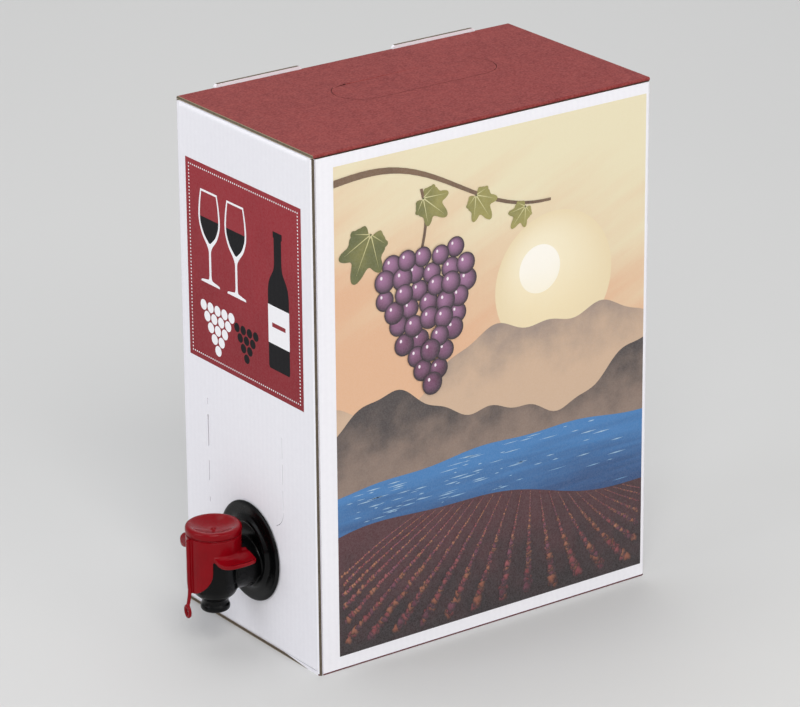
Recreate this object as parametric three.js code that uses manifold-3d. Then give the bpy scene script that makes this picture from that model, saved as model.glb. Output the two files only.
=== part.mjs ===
// Bag in box carton for three litres of wine, lying in its own frame.
// Millimetres, +Z up. Origin: centre of the carton's bottom, on the floor.
// The wide picture panel faces -Y, the tap comes out of the end panel at -X, the lid is on top.

import * as THREE from 'three';
import { mergeVertices } from 'three/addons/utils/BufferGeometryUtils.js';
import Module from 'manifold-3d';

const wasm = await Module();
wasm.setup();

// Carton
const WIDTH = 186;            // outside, along X
const DEPTH = 107;            // outside, along Y
const HEIGHT = 245;           // floor to the top of the lid
const BOARD = 1.6;            // corrugated board, E flute
const CREASE_R = 2.0;         // outer radius of a folded upright edge
const INNER_CREASE_R = 0.5;   // radius inside the same edge
const FIT_GAP = 0.3;          // air between two pieces that touch
const SEAM_WIDTH = 0.5;       // groove beside the raw edge of the tap panel
const SEAM_DEPTH = 0.9;
const GLUE_FLAP_WIDTH = 28;   // maker's joint behind the tap panel
const END_FLAP_LENGTH = 52;   // inner bottom flap, from the end panel
const DUST_FLAP_LENGTH = 38;  // under the lid, from the end panel
const DUST_FLAP_FRONT_GAP = 2.5;
const DUST_FLAP_TAPER = 9;    // corner taken off the free end of a dust flap

// Lid
const LID_SIDE_INSET = 0.8;   // the lid is a little narrower than the carton
const TUCK_LENGTH = 18;       // tuck flap below the lid's top
const TUCK_LEAN = 2.2;        // its free edge leans in by this much
const TUCK_CORNER = 14;       // taper at both ends of the tuck flap
const TAB_OFFSET = 49;        // lock tab's centre from the middle of the back panel
const TAB_LENGTH = 47;
const TAB_RISE = 1.5;         // above the lid
const TAB_CORNER = 1.8;

// Hand hole in the lid
const HAND_LENGTH = 86;
const HAND_DEPTH = 27;
const HAND_X = 7;             // centre, along X
const HAND_CREASE_Y = 23;     // its crease, at the back
const HAND_CORNER = 36;       // degrees of each round end left free beside the crease

// Tear-out door in the tap panel
const DOOR_HALF = 29.8;       // from its middle to a line of slits
const DOOR_Y = 3.2;
const SLIT_WIDTH = 0.5;
const OPEN_SLIT_WIDTH = 0.9;  // one slit has opened a little
// Slits on each side as [low, high, width] above the tap's centre
const BACK_SLITS = [[12.5, 15, SLIT_WIDTH], [23, 33, SLIT_WIDTH], [40, 55.5, OPEN_SLIT_WIDTH], [60.5, 63.5, SLIT_WIDTH]];
const FRONT_SLITS = [[28.5, 38, SLIT_WIDTH / 2], [41, 50.5, SLIT_WIDTH / 2], [53.5, 63.5, SLIT_WIDTH / 2]];
const HOOK_SWEEP = 74;        // degrees of the curved slit that leads to the tap
const HOOK_R = 8;

// Tap, measured from the tap's centre on the end panel
const TAP_Z = 43;             // centre of the tap above the floor
const TAP_REACH = 20;         // barrel's axis in front of the end panel
const FLANGE_R = 23.7;
const FLANGE_T = 1.5;
const FLANGE_EDGE = 0.8;      // thin outer edge of the flange
const HUB_R = 17;
const HUB_RISE = 3.4;         // hub in front of the end panel
const HUB_WALL = 1.4;         // the hub is a ring round the neck
const NECK_R = 11.4;          // at the hub, where it is widest
const NECK_DROP = 4.5;        // the neck runs lower than the tap's centre
const NECK_TAPER = 1.2;       // narrower than that at the barrel's axis
const NECK_BORE_R = 7.0;
const BORE_DROP = 2.6;
const NECK_ARCH_GAP = 0.5;    // between the neck and the arch in the handle's skirt
const PLUG_R = 13.2;          // pushed into the gland
const PLUG_LENGTH = 13;       // behind the end panel's outer face
const PLUG_WALL = 2.2;
const PLUG_BEAD = 0.25;
const BARREL_R = 11.2;
const BARREL_TOP = 10;
const BARREL_BORE_R = 8.6;
const TAPER_START = -9;       // where the barrel begins to narrow
const TAPER_R = 8.4;
const TAPER_END = -16;
const WAIST_R = 6.2;
const WAIST_TOP = -17.6;
const WAIST_END = -19.4;
const LIP_R = 6.8;
const SPOUT_END = -23.5;
const SPOUT_BORE_R = 5.2;
const SEAT_Z = -12;           // valve seat inside the barrel

// Handle: cap, skirt, two finger wings, front shield and tear strip
const CAP_TOP = 18.2;
const CAP_R = 12.9;
const SKIRT_R = 12.6;
const CAP_INNER_R = 11.7;
const CAP_ROOF = 3.1;         // thickness of the cap under its dish
const RIM_HEIGHT = 3.6;
const GROOVE_HEIGHT = 0.7;
const GROOVE_DEPTH = 0.7;
const DISH_R = 9.4;
const DISH_DEPTH = 2.9;
const NUB_R = 1.0;
const NUB_RISE = 0.7;
const SKIRT_END = 4.2;
const SHIELD_HALF_ANGLE = 54; // degrees to each side of the front
const SHIELD_END = -12.6;
const SHIELD_ROUND = 11;      // height of the rounded part of the shield
const STRIP_WIDTH = 1.7;
const STRIP_DEPTH = 2.0;      // stands in front of the shield
const STRIP_BITE = 0.5;       // how deep the strip is moulded into the shield
const TAIL_END = -24.4;
const TAIL_THICK = 1.4;
const TAIL_EYE_R = 3.4;       // half the eye's height
const TAIL_EYE_SLIM = 0.6;    // its width as a share of its height
const TAIL_EYE_HOLE_R = 1.5;
const WING_SPAN = 23;         // tip of a wing from the barrel's axis
const WING_HALF = 9.2;        // half its length along X
const WING_T = 2.0;
const WING_ROOT_Z = 6.2;      // top of the wing at the skirt
const WING_LOW_Z = 4.9;       // top of the wing at its lowest
const WING_TIP_Z = 6.4;       // top of the wing at its tip
const WING_BACK = 2.1;        // the wings sit behind the middle of the barrel

// Valve inside the barrel
const STEM_R = 1.7;
const VALVE_R = 7.0;
const VALVE_T = 2.6;
const STEM_HEAD_R = 3.0;
const STEM_HEAD_T = 1.5;
const MEMBRANE_T = 1.3;
const MEMBRANE_R = 10.4;
const SOCKET_WALL = 1.3;      // ring of the cap round the stem's head
const LIFT = 4;               // how far the handle lifts the valve

// Gland, welded to the bag
const GLAND_BORE_R = PLUG_R + PLUG_BEAD + FIT_GAP;
const GLAND_WALL = 2.0;
const GLAND_FLANGE_R = 24;
const GLAND_FLANGE_T = 2.0;
const PLUG_MOUTH = 3;         // free room in the bag behind the plug

// Bag of wine
const BAG_SIDE_GAP = 2.0;     // between the bag and the carton's walls
const BAG_TOP = 196;
const BAG_ROUND = 22;         // radius of the filled bag's edges
const BAG_FLOOR_GAP = 0.5;

const SEGMENTS = 56;

// Small shape helpers

const solidOf = (geometry) => {
  const g = geometry.index ? geometry.clone() : geometry;
  for (const name of Object.keys(g.attributes)) if (name !== 'position') g.deleteAttribute(name);
  const merged = mergeVertices(g, 1e-4);
  return new wasm.Manifold(new wasm.Mesh({
    numProp: 3,
    vertProperties: new Float32Array(merged.attributes.position.array),
    triVerts: new Uint32Array(merged.index.array),
  }));
};

const moved = (geometry, x = 0, y = 0, z = 0) => geometry.translate(x, y, z);

const box = (x0, x1, y0, y1, z0, z1) => solidOf(
  moved(new THREE.BoxGeometry(x1 - x0, y1 - y0, z1 - z0), (x0 + x1) / 2, (y0 + y1) / 2, (z0 + z1) / 2));

const lathe = (points, segments = SEGMENTS) => {
  // Profile as [radius, height], from the axis back to the axis or closed; the axis is Z.
  let area = 0;
  points.forEach(([r, h], i) => {
    const [r2, h2] = points[(i + 1) % points.length];
    area += r * h2 - r2 * h;
  });
  const way = area > 0 ? points : points.slice().reverse();
  const g = new THREE.LatheGeometry(way.map(([r, h]) => new THREE.Vector2(r, h)), segments);
  return solidOf(g.rotateX(Math.PI / 2));
};

const rod = (radius, z0, z1, segments = SEGMENTS) => lathe(
  [[0, z0], [radius, z0], [radius, z1], [0, z1]], segments);

const alongX = (solid) => solid.rotate([0, -90, 0]);  // the axis Z turns to -X

const outline = (points) => new THREE.Shape(points.map(([x, y]) => new THREE.Vector2(x, y)));

const prism = (shape, height, curveSegments = 10) => solidOf(new THREE.ExtrudeGeometry(
  shape, { depth: height, bevelEnabled: false, steps: 1, curveSegments }));

const roundedRect = (w, d, r) => {
  const s = new THREE.Shape();
  const x = w / 2;
  const y = d / 2;
  s.moveTo(-x + r, -y);
  s.lineTo(x - r, -y);
  s.absarc(x - r, -y + r, r, -Math.PI / 2, 0, false);
  s.lineTo(x, y - r);
  s.absarc(x - r, y - r, r, 0, Math.PI / 2, false);
  s.lineTo(-x + r, y);
  s.absarc(-x + r, y - r, r, Math.PI / 2, Math.PI, false);
  s.lineTo(-x, -y + r);
  s.absarc(-x + r, -y + r, r, Math.PI, 1.5 * Math.PI, false);
  return s;
};

// Profile in Y and Z, pushed along X from x0 to x1
const acrossX = (points, x0, x1) => {
  const g = new THREE.ExtrudeGeometry(outline(points), { depth: x1 - x0, bevelEnabled: false, steps: 1 });
  g.rotateX(Math.PI / 2).rotateZ(Math.PI / 2);
  return solidOf(g.translate(x0, 0, 0));
};

const union = (list) => list.reduce((a, b) => a.add(b));

const meshOf = (name, solid, material) => {
  const m = solid.getMesh();
  const stride = m.numProp;
  const count = m.vertProperties.length / stride;
  const pos = new Float32Array(count * 3);
  for (let i = 0; i < count; i += 1) {
    for (let k = 0; k < 3; k += 1) pos[i * 3 + k] = m.vertProperties[i * stride + k];
  }
  const g = new THREE.BufferGeometry();
  g.setAttribute('position', new THREE.BufferAttribute(pos, 3));
  g.setIndex(new THREE.BufferAttribute(new Uint32Array(m.triVerts), 1));
  g.computeVertexNormals();
  const mesh = new THREE.Mesh(g, material);
  mesh.name = name;
  return mesh;
};

const X = WIDTH / 2;
const Y = DEPTH / 2;
const BACK_INNER = Y - BOARD;
const WALL_TOP = HEIGHT - BOARD - FIT_GAP;
const TUCK_Y = BACK_INNER - FIT_GAP;
const INSIDE_FLOOR = 2 * BOARD;
const AXIS_X = -X - TAP_REACH;
const NECK_HOLE_R = GLAND_BORE_R + GLAND_WALL + FIT_GAP;

// Folded carton: tube, bottom, dust flaps and lock tabs
const makeCarton = () => {
  const outer = prism(roundedRect(WIDTH, DEPTH, CREASE_R), WALL_TOP, 5);
  const inner = prism(roundedRect(WIDTH - 2 * BOARD, DEPTH - 2 * BOARD, INNER_CREASE_R), WALL_TOP, 2)
    .translate([0, 0, BOARD]);
  let body = outer.subtract(inner);
  const over = BOARD / 2;
  const parts = [];
  for (const side of [-1, 1]) {
    const wall = side * (X - over);
    const endFree = side * (X - BOARD - END_FLAP_LENGTH);
    parts.push(box(Math.min(wall, endFree), Math.max(wall, endFree),
      -Y + over, Y - over, over, INSIDE_FLOOR));
    // Dust flap with its two free corners taken off
    const y0 = -BACK_INNER + DUST_FLAP_FRONT_GAP;
    const y1 = TUCK_Y - BOARD - TUCK_LEAN - DUST_FLAP_FRONT_GAP;
    const free = X - BOARD - DUST_FLAP_LENGTH;
    const flap = outline(side > 0
      ? [[X - over, y0], [X - over, y1], [free + DUST_FLAP_TAPER, y1], [free, y1 - DUST_FLAP_TAPER],
        [free, y0 + DUST_FLAP_TAPER], [free + DUST_FLAP_TAPER, y0]]
      : [[-X + over, y0], [-free - DUST_FLAP_TAPER, y0], [-free, y0 + DUST_FLAP_TAPER],
        [-free, y1 - DUST_FLAP_TAPER], [-free - DUST_FLAP_TAPER, y1], [-X + over, y1]]);
    parts.push(prism(flap, BOARD).translate([0, 0, WALL_TOP - BOARD]));
    // Lock tab standing on the back panel
    const tab = new THREE.Shape();
    const h = TAB_LENGTH / 2;
    const top = HEIGHT + TAB_RISE;
    tab.moveTo(-h, WALL_TOP - 2);
    tab.lineTo(h, WALL_TOP - 2);
    tab.lineTo(h, top - TAB_CORNER);
    tab.absarc(h - TAB_CORNER, top - TAB_CORNER, TAB_CORNER, 0, Math.PI / 2, false);
    tab.lineTo(-h + TAB_CORNER, top);
    tab.absarc(-h + TAB_CORNER, top - TAB_CORNER, TAB_CORNER, Math.PI / 2, Math.PI, false);
    parts.push(solidOf(new THREE.ExtrudeGeometry(tab, { depth: BOARD, bevelEnabled: false, curveSegments: 4 })
      .rotateX(Math.PI / 2).translate(side * TAB_OFFSET, Y, 0)));
  }
  // Glue flap behind the tap panel
  parts.push(prism(outline([[-X + over, -Y + over], [-X + 2 * BOARD, -Y + over],
    [-X + 2 * BOARD, -Y + BOARD + GLUE_FLAP_WIDTH], [-X + over, -Y + BOARD + GLUE_FLAP_WIDTH]]),
  WALL_TOP - 2 * BOARD - INSIDE_FLOOR - 8).translate([0, 0, INSIDE_FLOOR + 4]));
  body = union([body, ...parts]);

  // Raw edge of the tap panel, and of the bottom panel under it
  const cuts = [
    box(-X + BOARD - SEAM_WIDTH / 2, -X + BOARD + SEAM_WIDTH / 2, -Y - 1, -Y + SEAM_DEPTH, -1, HEIGHT),
    box(-X - 1, -X + SEAM_DEPTH, -Y + CREASE_R, Y - CREASE_R, BOARD, BOARD + SEAM_WIDTH),
    alongX(rod(NECK_HOLE_R, -3 * BOARD, 3 * BOARD)).translate([-X, 0, TAP_Z]),
  ];
  // Lines of slits that free the door above the tap
  for (const [side, slits] of [[1, BACK_SLITS], [-1, FRONT_SLITS]]) {
    const y = DOOR_Y + side * DOOR_HALF;
    for (const [low, high, w] of slits) {
      cuts.push(box(-X - 1, -X + 3 * BOARD, y - w / 2, y + w / 2, TAP_Z + low, TAP_Z + high));
    }
  }
  // Curved slit from the front line towards the tap
  const hook = new THREE.Shape();
  const sweep = THREE.MathUtils.degToRad(HOOK_SWEEP);
  const w = SLIT_WIDTH / 4;
  hook.absarc(0, 0, HOOK_R + w, Math.PI, Math.PI + sweep, false);
  hook.absarc(0, 0, HOOK_R - w, Math.PI + sweep, Math.PI, true);
  cuts.push(solidOf(new THREE.ExtrudeGeometry(hook, { depth: 4 * BOARD, bevelEnabled: false, curveSegments: 8 })
    .rotateX(Math.PI / 2).rotateZ(Math.PI / 2)
    .translate(-X - BOARD, DOOR_Y - DOOR_HALF + HOOK_R, TAP_Z + FRONT_SLITS[0][0] - 1.5)));
  // Rounded creases where the end panels turn in to the dust flaps
  for (const side of [-1, 1]) {
    const round = new THREE.Shape();
    const cx = X - CREASE_R;
    const cz = WALL_TOP - CREASE_R;
    round.moveTo(cx, WALL_TOP);
    for (let i = 1; i <= 5; i += 1) {
      const a = Math.PI / 2 - (i / 5) * (Math.PI / 2);
      round.lineTo(cx + CREASE_R * Math.cos(a), cz + CREASE_R * Math.sin(a));
    }
    round.lineTo(X + 1, cz);
    round.lineTo(X + 1, WALL_TOP + 1);
    round.lineTo(cx, WALL_TOP + 1);
    const length = DEPTH - 2 * CREASE_R - 2 * BOARD;
    const cut = solidOf(new THREE.ExtrudeGeometry(round, { depth: length, bevelEnabled: false })
      .rotateX(Math.PI / 2).translate(0, length / 2, 0));
    cuts.push(side > 0 ? cut : cut.rotate([0, 0, 180]));
  }
  for (const cut of cuts) body = body.subtract(cut);
  return body;
};

// Shape of the hand hole: straight crease at the back, round ends, and the front cut
const handShape = (grow) => {
  const s = new THREE.Shape();
  const half = HAND_LENGTH / 2;
  const r = HAND_DEPTH / 2;
  const back = HAND_CREASE_Y + grow;
  const mid = HAND_CREASE_Y - r;
  s.moveTo(HAND_X - half + r, back);
  s.lineTo(HAND_X - half + r, mid + r);
  s.absarc(HAND_X - half + r, mid, r + grow, Math.PI / 2, 1.5 * Math.PI, false);
  s.absarc(HAND_X + half - r, mid, r + grow, -Math.PI / 2, Math.PI / 2, false);
  return s;
};

// Lid with its tuck flap, the slots for the lock tabs and the hand hole
const makeLid = () => {
  const r = BOARD / 2;
  const pivotY = -Y + r;
  const pivotZ = HEIGHT - r;
  const x0 = -X + LID_SIDE_INSET;
  const x1 = X - LID_SIDE_INSET;
  const profile = [];
  for (let i = 0; i <= 8; i += 1) {
    const a = Math.PI / 2 + (i / 8) * Math.PI;
    profile.push([pivotY + r * Math.cos(a), pivotZ + r * Math.sin(a)]);
  }
  profile.push([TUCK_Y - BOARD, HEIGHT - BOARD]);
  profile.push([TUCK_Y - BOARD - TUCK_LEAN, HEIGHT - TUCK_LENGTH]);
  profile.push([TUCK_Y - TUCK_LEAN, HEIGHT - TUCK_LENGTH]);
  profile.push([TUCK_Y, HEIGHT - BOARD]);
  profile.push([Y, HEIGHT - BOARD]);
  for (let i = 0; i <= 5; i += 1) {
    const a = (i / 5) * (Math.PI / 2);
    profile.push([Y - BOARD + BOARD * Math.cos(a), HEIGHT - BOARD + BOARD * Math.sin(a)]);
  }
  let lid = acrossX(profile, x0, x1);
  const side = X - BOARD - FIT_GAP;
  for (const s of [-1, 1]) {
    // The tuck flap stands clear of the end panels and tapers towards its free edge
    const wedge = outline([[s * X * 2, HEIGHT - BOARD + 0.01], [s * side, HEIGHT - BOARD + 0.01],
      [s * (side - TUCK_CORNER), HEIGHT - TUCK_LENGTH - 1], [s * X * 2, HEIGHT - TUCK_LENGTH - 1]]);
    const g = new THREE.ExtrudeGeometry(wedge, { depth: DEPTH / 2, bevelEnabled: false });
    lid = lid.subtract(solidOf(s > 0 ? g.rotateX(Math.PI / 2).translate(0, Y, 0)
      : g.rotateX(Math.PI / 2).translate(0, Y, 0)));
    lid = lid.subtract(box(s * TAB_OFFSET - TAB_LENGTH / 2 - FIT_GAP, s * TAB_OFFSET + TAB_LENGTH / 2 + FIT_GAP,
      BACK_INNER - FIT_GAP, Y + 2, HEIGHT - 3 * BOARD, HEIGHT + 2));
  }
  return lid.subtract(prism(handShape(0), 4 * BOARD, 12).translate([0, 0, HEIGHT - 2 * BOARD]));
};

// Flap in the hand hole: it folds down about its crease at the back
const makeHandFlap = () => {
  const r = BOARD / 2;
  const s = new THREE.Shape();
  const half = HAND_LENGTH / 2;
  const round = HAND_DEPTH / 2;
  const mid = HAND_CREASE_Y - round;
  const crease = HAND_CREASE_Y - FIT_GAP - r;
  const grow = -FIT_GAP;
  s.moveTo(HAND_X - half + round, crease);
  const free = THREE.MathUtils.degToRad(HAND_CORNER);
  s.absarc(HAND_X - half + round, mid, round + grow, Math.PI / 2 + free, 1.5 * Math.PI, false);
  s.absarc(HAND_X + half - round, mid, round + grow, -Math.PI / 2, Math.PI / 2 - free, false);
  s.lineTo(HAND_X + half - round, crease);
  const plate = prism(s, BOARD, 12).translate([0, 0, HEIGHT - BOARD]);
  const knuckle = alongX(rod(r, -(half - round), half - round, 16))
    .translate([HAND_X, crease, HEIGHT - r]);
  return plate.add(knuckle);
};

// Bag of wine: one closed pillow, cut clear of the tap's gland and the carton's flaps
const makeBag = () => {
  const x0 = -X + 2 * BOARD + BAG_SIDE_GAP;
  const x1 = X - BOARD - BAG_SIDE_GAP;
  const y1 = Y - BOARD - BAG_SIDE_GAP;
  const z0 = INSIDE_FLOOR + BAG_FLOOR_GAP;
  const r = BAG_ROUND;
  const shape = roundedRect(x1 - x0, 2 * y1, r);
  const g = new THREE.ExtrudeGeometry(shape, { depth: BAG_TOP - z0 - 2 * r * 0.7, bevelEnabled: true,
    bevelThickness: r * 0.7, bevelSize: r * 0.55, bevelOffset: -r * 0.55, bevelSegments: 4,
    curveSegments: 6, steps: 1 });
  const bag = solidOf(g.translate((x0 + x1) / 2, 0, z0 + r * 0.7));
  // The film lies round the gland's flange and leaves the tap's plug free
  const flange = 2 * BOARD + FIT_GAP + GLAND_FLANGE_T + FIT_GAP;
  const room = PLUG_LENGTH + PLUG_MOUTH;
  return bag
    .subtract(alongX(rod(GLAND_FLANGE_R + FIT_GAP, -flange, BOARD)).translate([-X, 0, TAP_Z]))
    .subtract(alongX(rod(GLAND_BORE_R + GLAND_WALL + FIT_GAP, -room, BOARD)).translate([-X, 0, TAP_Z]));
};

// Gland welded to the bag, with its neck through the end panel
const makeGland = () => {
  const neckR = GLAND_BORE_R + GLAND_WALL;
  const innerFace = 2 * BOARD + FIT_GAP;
  const ring = lathe([[GLAND_BORE_R, 0], [neckR, 0], [neckR, -innerFace],
    [GLAND_FLANGE_R, -innerFace], [GLAND_FLANGE_R, -innerFace - GLAND_FLANGE_T],
    [neckR, -innerFace - GLAND_FLANGE_T], [neckR, -innerFace - GLAND_FLANGE_T - 1],
    [GLAND_BORE_R, -innerFace - GLAND_FLANGE_T - 1], [GLAND_BORE_R, 0]]);
  return alongX(ring).translate([-X, 0, TAP_Z]);
};

// Body of the tap: plug, flange, hub, neck, barrel and spout
const makeTapBody = () => {
  const back = FIT_GAP;
  const front = FIT_GAP + FLANGE_T;
  const side = alongX(lathe([
    [0, -PLUG_LENGTH], [PLUG_R, -PLUG_LENGTH], [PLUG_R, -PLUG_LENGTH + 3],
    [PLUG_R + PLUG_BEAD, -PLUG_LENGTH + 4], [PLUG_R, -PLUG_LENGTH + 5], [PLUG_R, back],
    [FLANGE_R, back], [FLANGE_R, back + FLANGE_EDGE], [FLANGE_R - 1.2, front], [HUB_R + 1.5, front],
    [HUB_R, front + 0.6], [HUB_R - 1.2, HUB_RISE], [HUB_R - 1.2 - HUB_WALL, HUB_RISE],
    [HUB_R - 1.2 - HUB_WALL, front], [0, front]])).translate([-X, 0, TAP_Z]);
  const neck = alongX(lathe([[0, back], [NECK_R, back], [NECK_R - NECK_TAPER, TAP_REACH],
    [0, TAP_REACH]])).translate([-X, 0, TAP_Z - NECK_DROP]);
  const barrel = lathe([
    [0, SPOUT_END], [LIP_R - 0.9, SPOUT_END], [LIP_R - 0.25, SPOUT_END + 0.5], [LIP_R, SPOUT_END + 1.3],
    [LIP_R, WAIST_END - 1.2], [LIP_R - 0.4, WAIST_END - 0.4], [WAIST_R, WAIST_END], [WAIST_R, WAIST_TOP],
    [TAPER_R, TAPER_END], [(TAPER_R + BARREL_R) / 2 + 0.6, (TAPER_START + TAPER_END) / 2],
    [BARREL_R, TAPER_START], [BARREL_R, BARREL_TOP], [0, BARREL_TOP]])
    .translate([AXIS_X, 0, TAP_Z]);
  const chamber = rod(BARREL_BORE_R, SEAT_Z, BARREL_TOP + 1).translate([AXIS_X, 0, TAP_Z]);
  const spout = rod(SPOUT_BORE_R, SPOUT_END - 1, SEAT_Z + 1).translate([AXIS_X, 0, TAP_Z]);
  const ledge = rod(MEMBRANE_R + FIT_GAP, BARREL_TOP - MEMBRANE_T - FIT_GAP, BARREL_TOP + 1)
    .translate([AXIS_X, 0, TAP_Z]);
  const bore = alongX(rod(NECK_BORE_R, -2, TAP_REACH)).translate([-X, 0, TAP_Z - BORE_DROP]);
  const plugBore = alongX(rod(PLUG_R - PLUG_WALL, -PLUG_LENGTH - 1, -1)).translate([-X, 0, TAP_Z]);
  return union([side, neck, barrel]).subtract(chamber).subtract(spout).subtract(ledge).subtract(bore)
    .subtract(plugBore);
};

// Elastic membrane that shuts the top of the barrel and pulls the valve closed
const makeMembrane = () => {
  const z0 = BARREL_TOP - MEMBRANE_T;
  return lathe([[STEM_R + FIT_GAP, z0], [MEMBRANE_R, z0], [MEMBRANE_R, BARREL_TOP],
    [BARREL_BORE_R - 1.2, BARREL_TOP], [BARREL_BORE_R - 2.4, BARREL_TOP - 0.4],
    [STEM_R + FIT_GAP + 1.4, BARREL_TOP - 0.4], [STEM_R + FIT_GAP, BARREL_TOP],
    [STEM_R + FIT_GAP, z0]]).translate([AXIS_X, 0, TAP_Z]);
};

const ROOF_UNDER = CAP_TOP - CAP_ROOF - DISH_DEPTH;
const STEM_TOP = ROOF_UNDER - FIT_GAP;

// Valve and its stem, hung from the handle
const makeStem = () => lathe([[0, SEAT_Z + FIT_GAP], [SPOUT_BORE_R + 0.4, SEAT_Z + FIT_GAP],
  [VALVE_R, SEAT_Z + FIT_GAP + 1], [VALVE_R, SEAT_Z + FIT_GAP + VALVE_T], [STEM_R, SEAT_Z + VALVE_T + 1.8],
  [STEM_R, STEM_TOP - STEM_HEAD_T], [STEM_HEAD_R, STEM_TOP - STEM_HEAD_T], [STEM_HEAD_R, STEM_TOP],
  [0, STEM_TOP]]).translate([AXIS_X, 0, TAP_Z]);

// Handle in red: dished cap, skirt, wings, shield and tear strip
const makeHandle = () => {
  const grooveTop = CAP_TOP - RIM_HEIGHT;
  const cap = lathe([
    [0, CAP_TOP - DISH_DEPTH + NUB_RISE], [NUB_R, CAP_TOP - DISH_DEPTH + NUB_RISE * 0.6],
    [NUB_R + 0.3, CAP_TOP - DISH_DEPTH], [DISH_R * 0.55, CAP_TOP - DISH_DEPTH + 0.35],
    [DISH_R - 1.8, CAP_TOP - 1.3], [DISH_R - 0.5, CAP_TOP - 0.35], [DISH_R + 0.5, CAP_TOP],
    [CAP_R - 0.9, CAP_TOP], [CAP_R - 0.25, CAP_TOP - 0.35], [CAP_R, CAP_TOP - 1.0],
    [CAP_R, grooveTop + 0.3], [CAP_R - 0.3, grooveTop], [CAP_R - GROOVE_DEPTH, grooveTop - 0.2],
    [CAP_R - GROOVE_DEPTH, grooveTop - GROOVE_HEIGHT], [SKIRT_R, grooveTop - GROOVE_HEIGHT - 0.2],
    [SKIRT_R, SHIELD_END], [CAP_INNER_R, SHIELD_END], [CAP_INNER_R, ROOF_UNDER], [0, ROOF_UNDER]]);
  // Below the skirt only the shield stays, in front of the barrel
  const far = 3 * CAP_R;
  const a = THREE.MathUtils.degToRad(SHIELD_HALF_ANGLE);
  const keepZ = SHIELD_END + SHIELD_ROUND;
  const half = SKIRT_R * Math.sin(a);
  const tongue = new THREE.Shape();
  tongue.moveTo(-half, SKIRT_END + 0.01);
  tongue.lineTo(-half, keepZ);
  tongue.absellipse(0, keepZ, half, SHIELD_ROUND, Math.PI, 2 * Math.PI, false, 0);
  tongue.lineTo(half, SKIRT_END + 0.01);
  const front = solidOf(new THREE.ExtrudeGeometry(tongue, { depth: far, bevelEnabled: false, curveSegments: 12 })
    .rotateX(Math.PI / 2).rotateZ(-Math.PI / 2));
  const block = box(-far, far, -far, far, SHIELD_END - 1, SKIRT_END);
  let body = cap.subtract(block.subtract(front));

  // Arch in the back of the skirt, over the neck
  body = body.subtract(alongX(rod(NECK_R + NECK_ARCH_GAP, -far, 0)).translate([0, 0, -NECK_DROP]));
  body = body.subtract(box(0, far, -NECK_R - NECK_ARCH_GAP, NECK_R + NECK_ARCH_GAP, -far, -NECK_DROP));

  // Ring that holds the stem's head
  const socketR = STEM_HEAD_R + FIT_GAP;
  body = body.add(lathe([[socketR, ROOF_UNDER - STEM_HEAD_T], [socketR + SOCKET_WALL, ROOF_UNDER - STEM_HEAD_T],
    [socketR + SOCKET_WALL, ROOF_UNDER + 0.5], [socketR, ROOF_UNDER + 0.5], [socketR, ROOF_UNDER - STEM_HEAD_T]]));

  // Finger wings
  const steps = 8;
  const top = [];
  for (let i = 0; i <= steps; i += 1) {
    const t = i / steps;
    const y = CAP_INNER_R + 0.4 + t * (WING_SPAN - CAP_INNER_R - 0.4);
    const z = (1 - t) * (1 - t) * WING_ROOT_Z + 2 * t * (1 - t) * (2 * WING_LOW_Z - (WING_ROOT_Z + WING_TIP_Z) / 2)
      + t * t * WING_TIP_Z;
    top.push([y, z]);
  }
  const profile = [...top, ...top.slice().reverse().map(([y, z]) => [y, z - WING_T])];
  for (const side of [-1, 1]) {
    const run = acrossX(profile.map(([y, z]) => [side * y, z]), -WING_HALF - 1, WING_HALF + WING_BACK + 1);
    const plan = new THREE.Shape();
    const root = CAP_INNER_R - 3;
    const tip = WING_SPAN;
    plan.moveTo(-WING_HALF, root);
    plan.lineTo(WING_HALF, root);
    plan.bezierCurveTo(WING_HALF + 0.5, tip - 3, WING_HALF - 3, tip, 0, tip);
    plan.bezierCurveTo(-WING_HALF + 3, tip, -WING_HALF - 0.5, tip - 3, -WING_HALF, root);
    const keep = prism(plan, 30, 10).translate([WING_BACK, 0, -12]).scale([1, side, 1]);
    body = body.add(run.intersect(keep).subtract(rod(CAP_INNER_R + 0.3, -20, ROOF_UNDER)));
  }

  // Tear strip on the front of the shield, with its tail and eye
  const x1 = -SKIRT_R + STRIP_BITE;
  const x0 = -SKIRT_R - STRIP_DEPTH;
  const low = SHIELD_END + 1.5;
  const eyeZ = TAIL_END + TAIL_EYE_R;
  const bar = box(x0, x1, -STRIP_WIDTH / 2, STRIP_WIDTH / 2, low, grooveTop - GROOVE_HEIGHT - 0.6);
  const tail = solidOf(new THREE.ExtrudeGeometry(outline([[x0, low + 0.8], [x0, low],
    [x0 - 1.0, eyeZ + 0.4], [x0 - 1.0 + TAIL_THICK, eyeZ + 0.4], [x0 + TAIL_THICK + 0.4, low],
    [x0 + TAIL_THICK + 0.4, low + 0.8]].reverse()), { depth: STRIP_WIDTH, bevelEnabled: false })
    .rotateX(Math.PI / 2).translate(0, STRIP_WIDTH / 2, 0));
  const eye = alongX(rod(TAIL_EYE_R, 0, TAIL_THICK, 20).subtract(rod(TAIL_EYE_HOLE_R, -2, TAIL_THICK + 2, 12)))
    .scale([1, TAIL_EYE_SLIM, 1]).translate([x0 - 1.0 + TAIL_THICK, 0, eyeZ]);
  return body.add(bar).add(tail).add(eye).translate([AXIS_X, 0, TAP_Z]);
};

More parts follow.
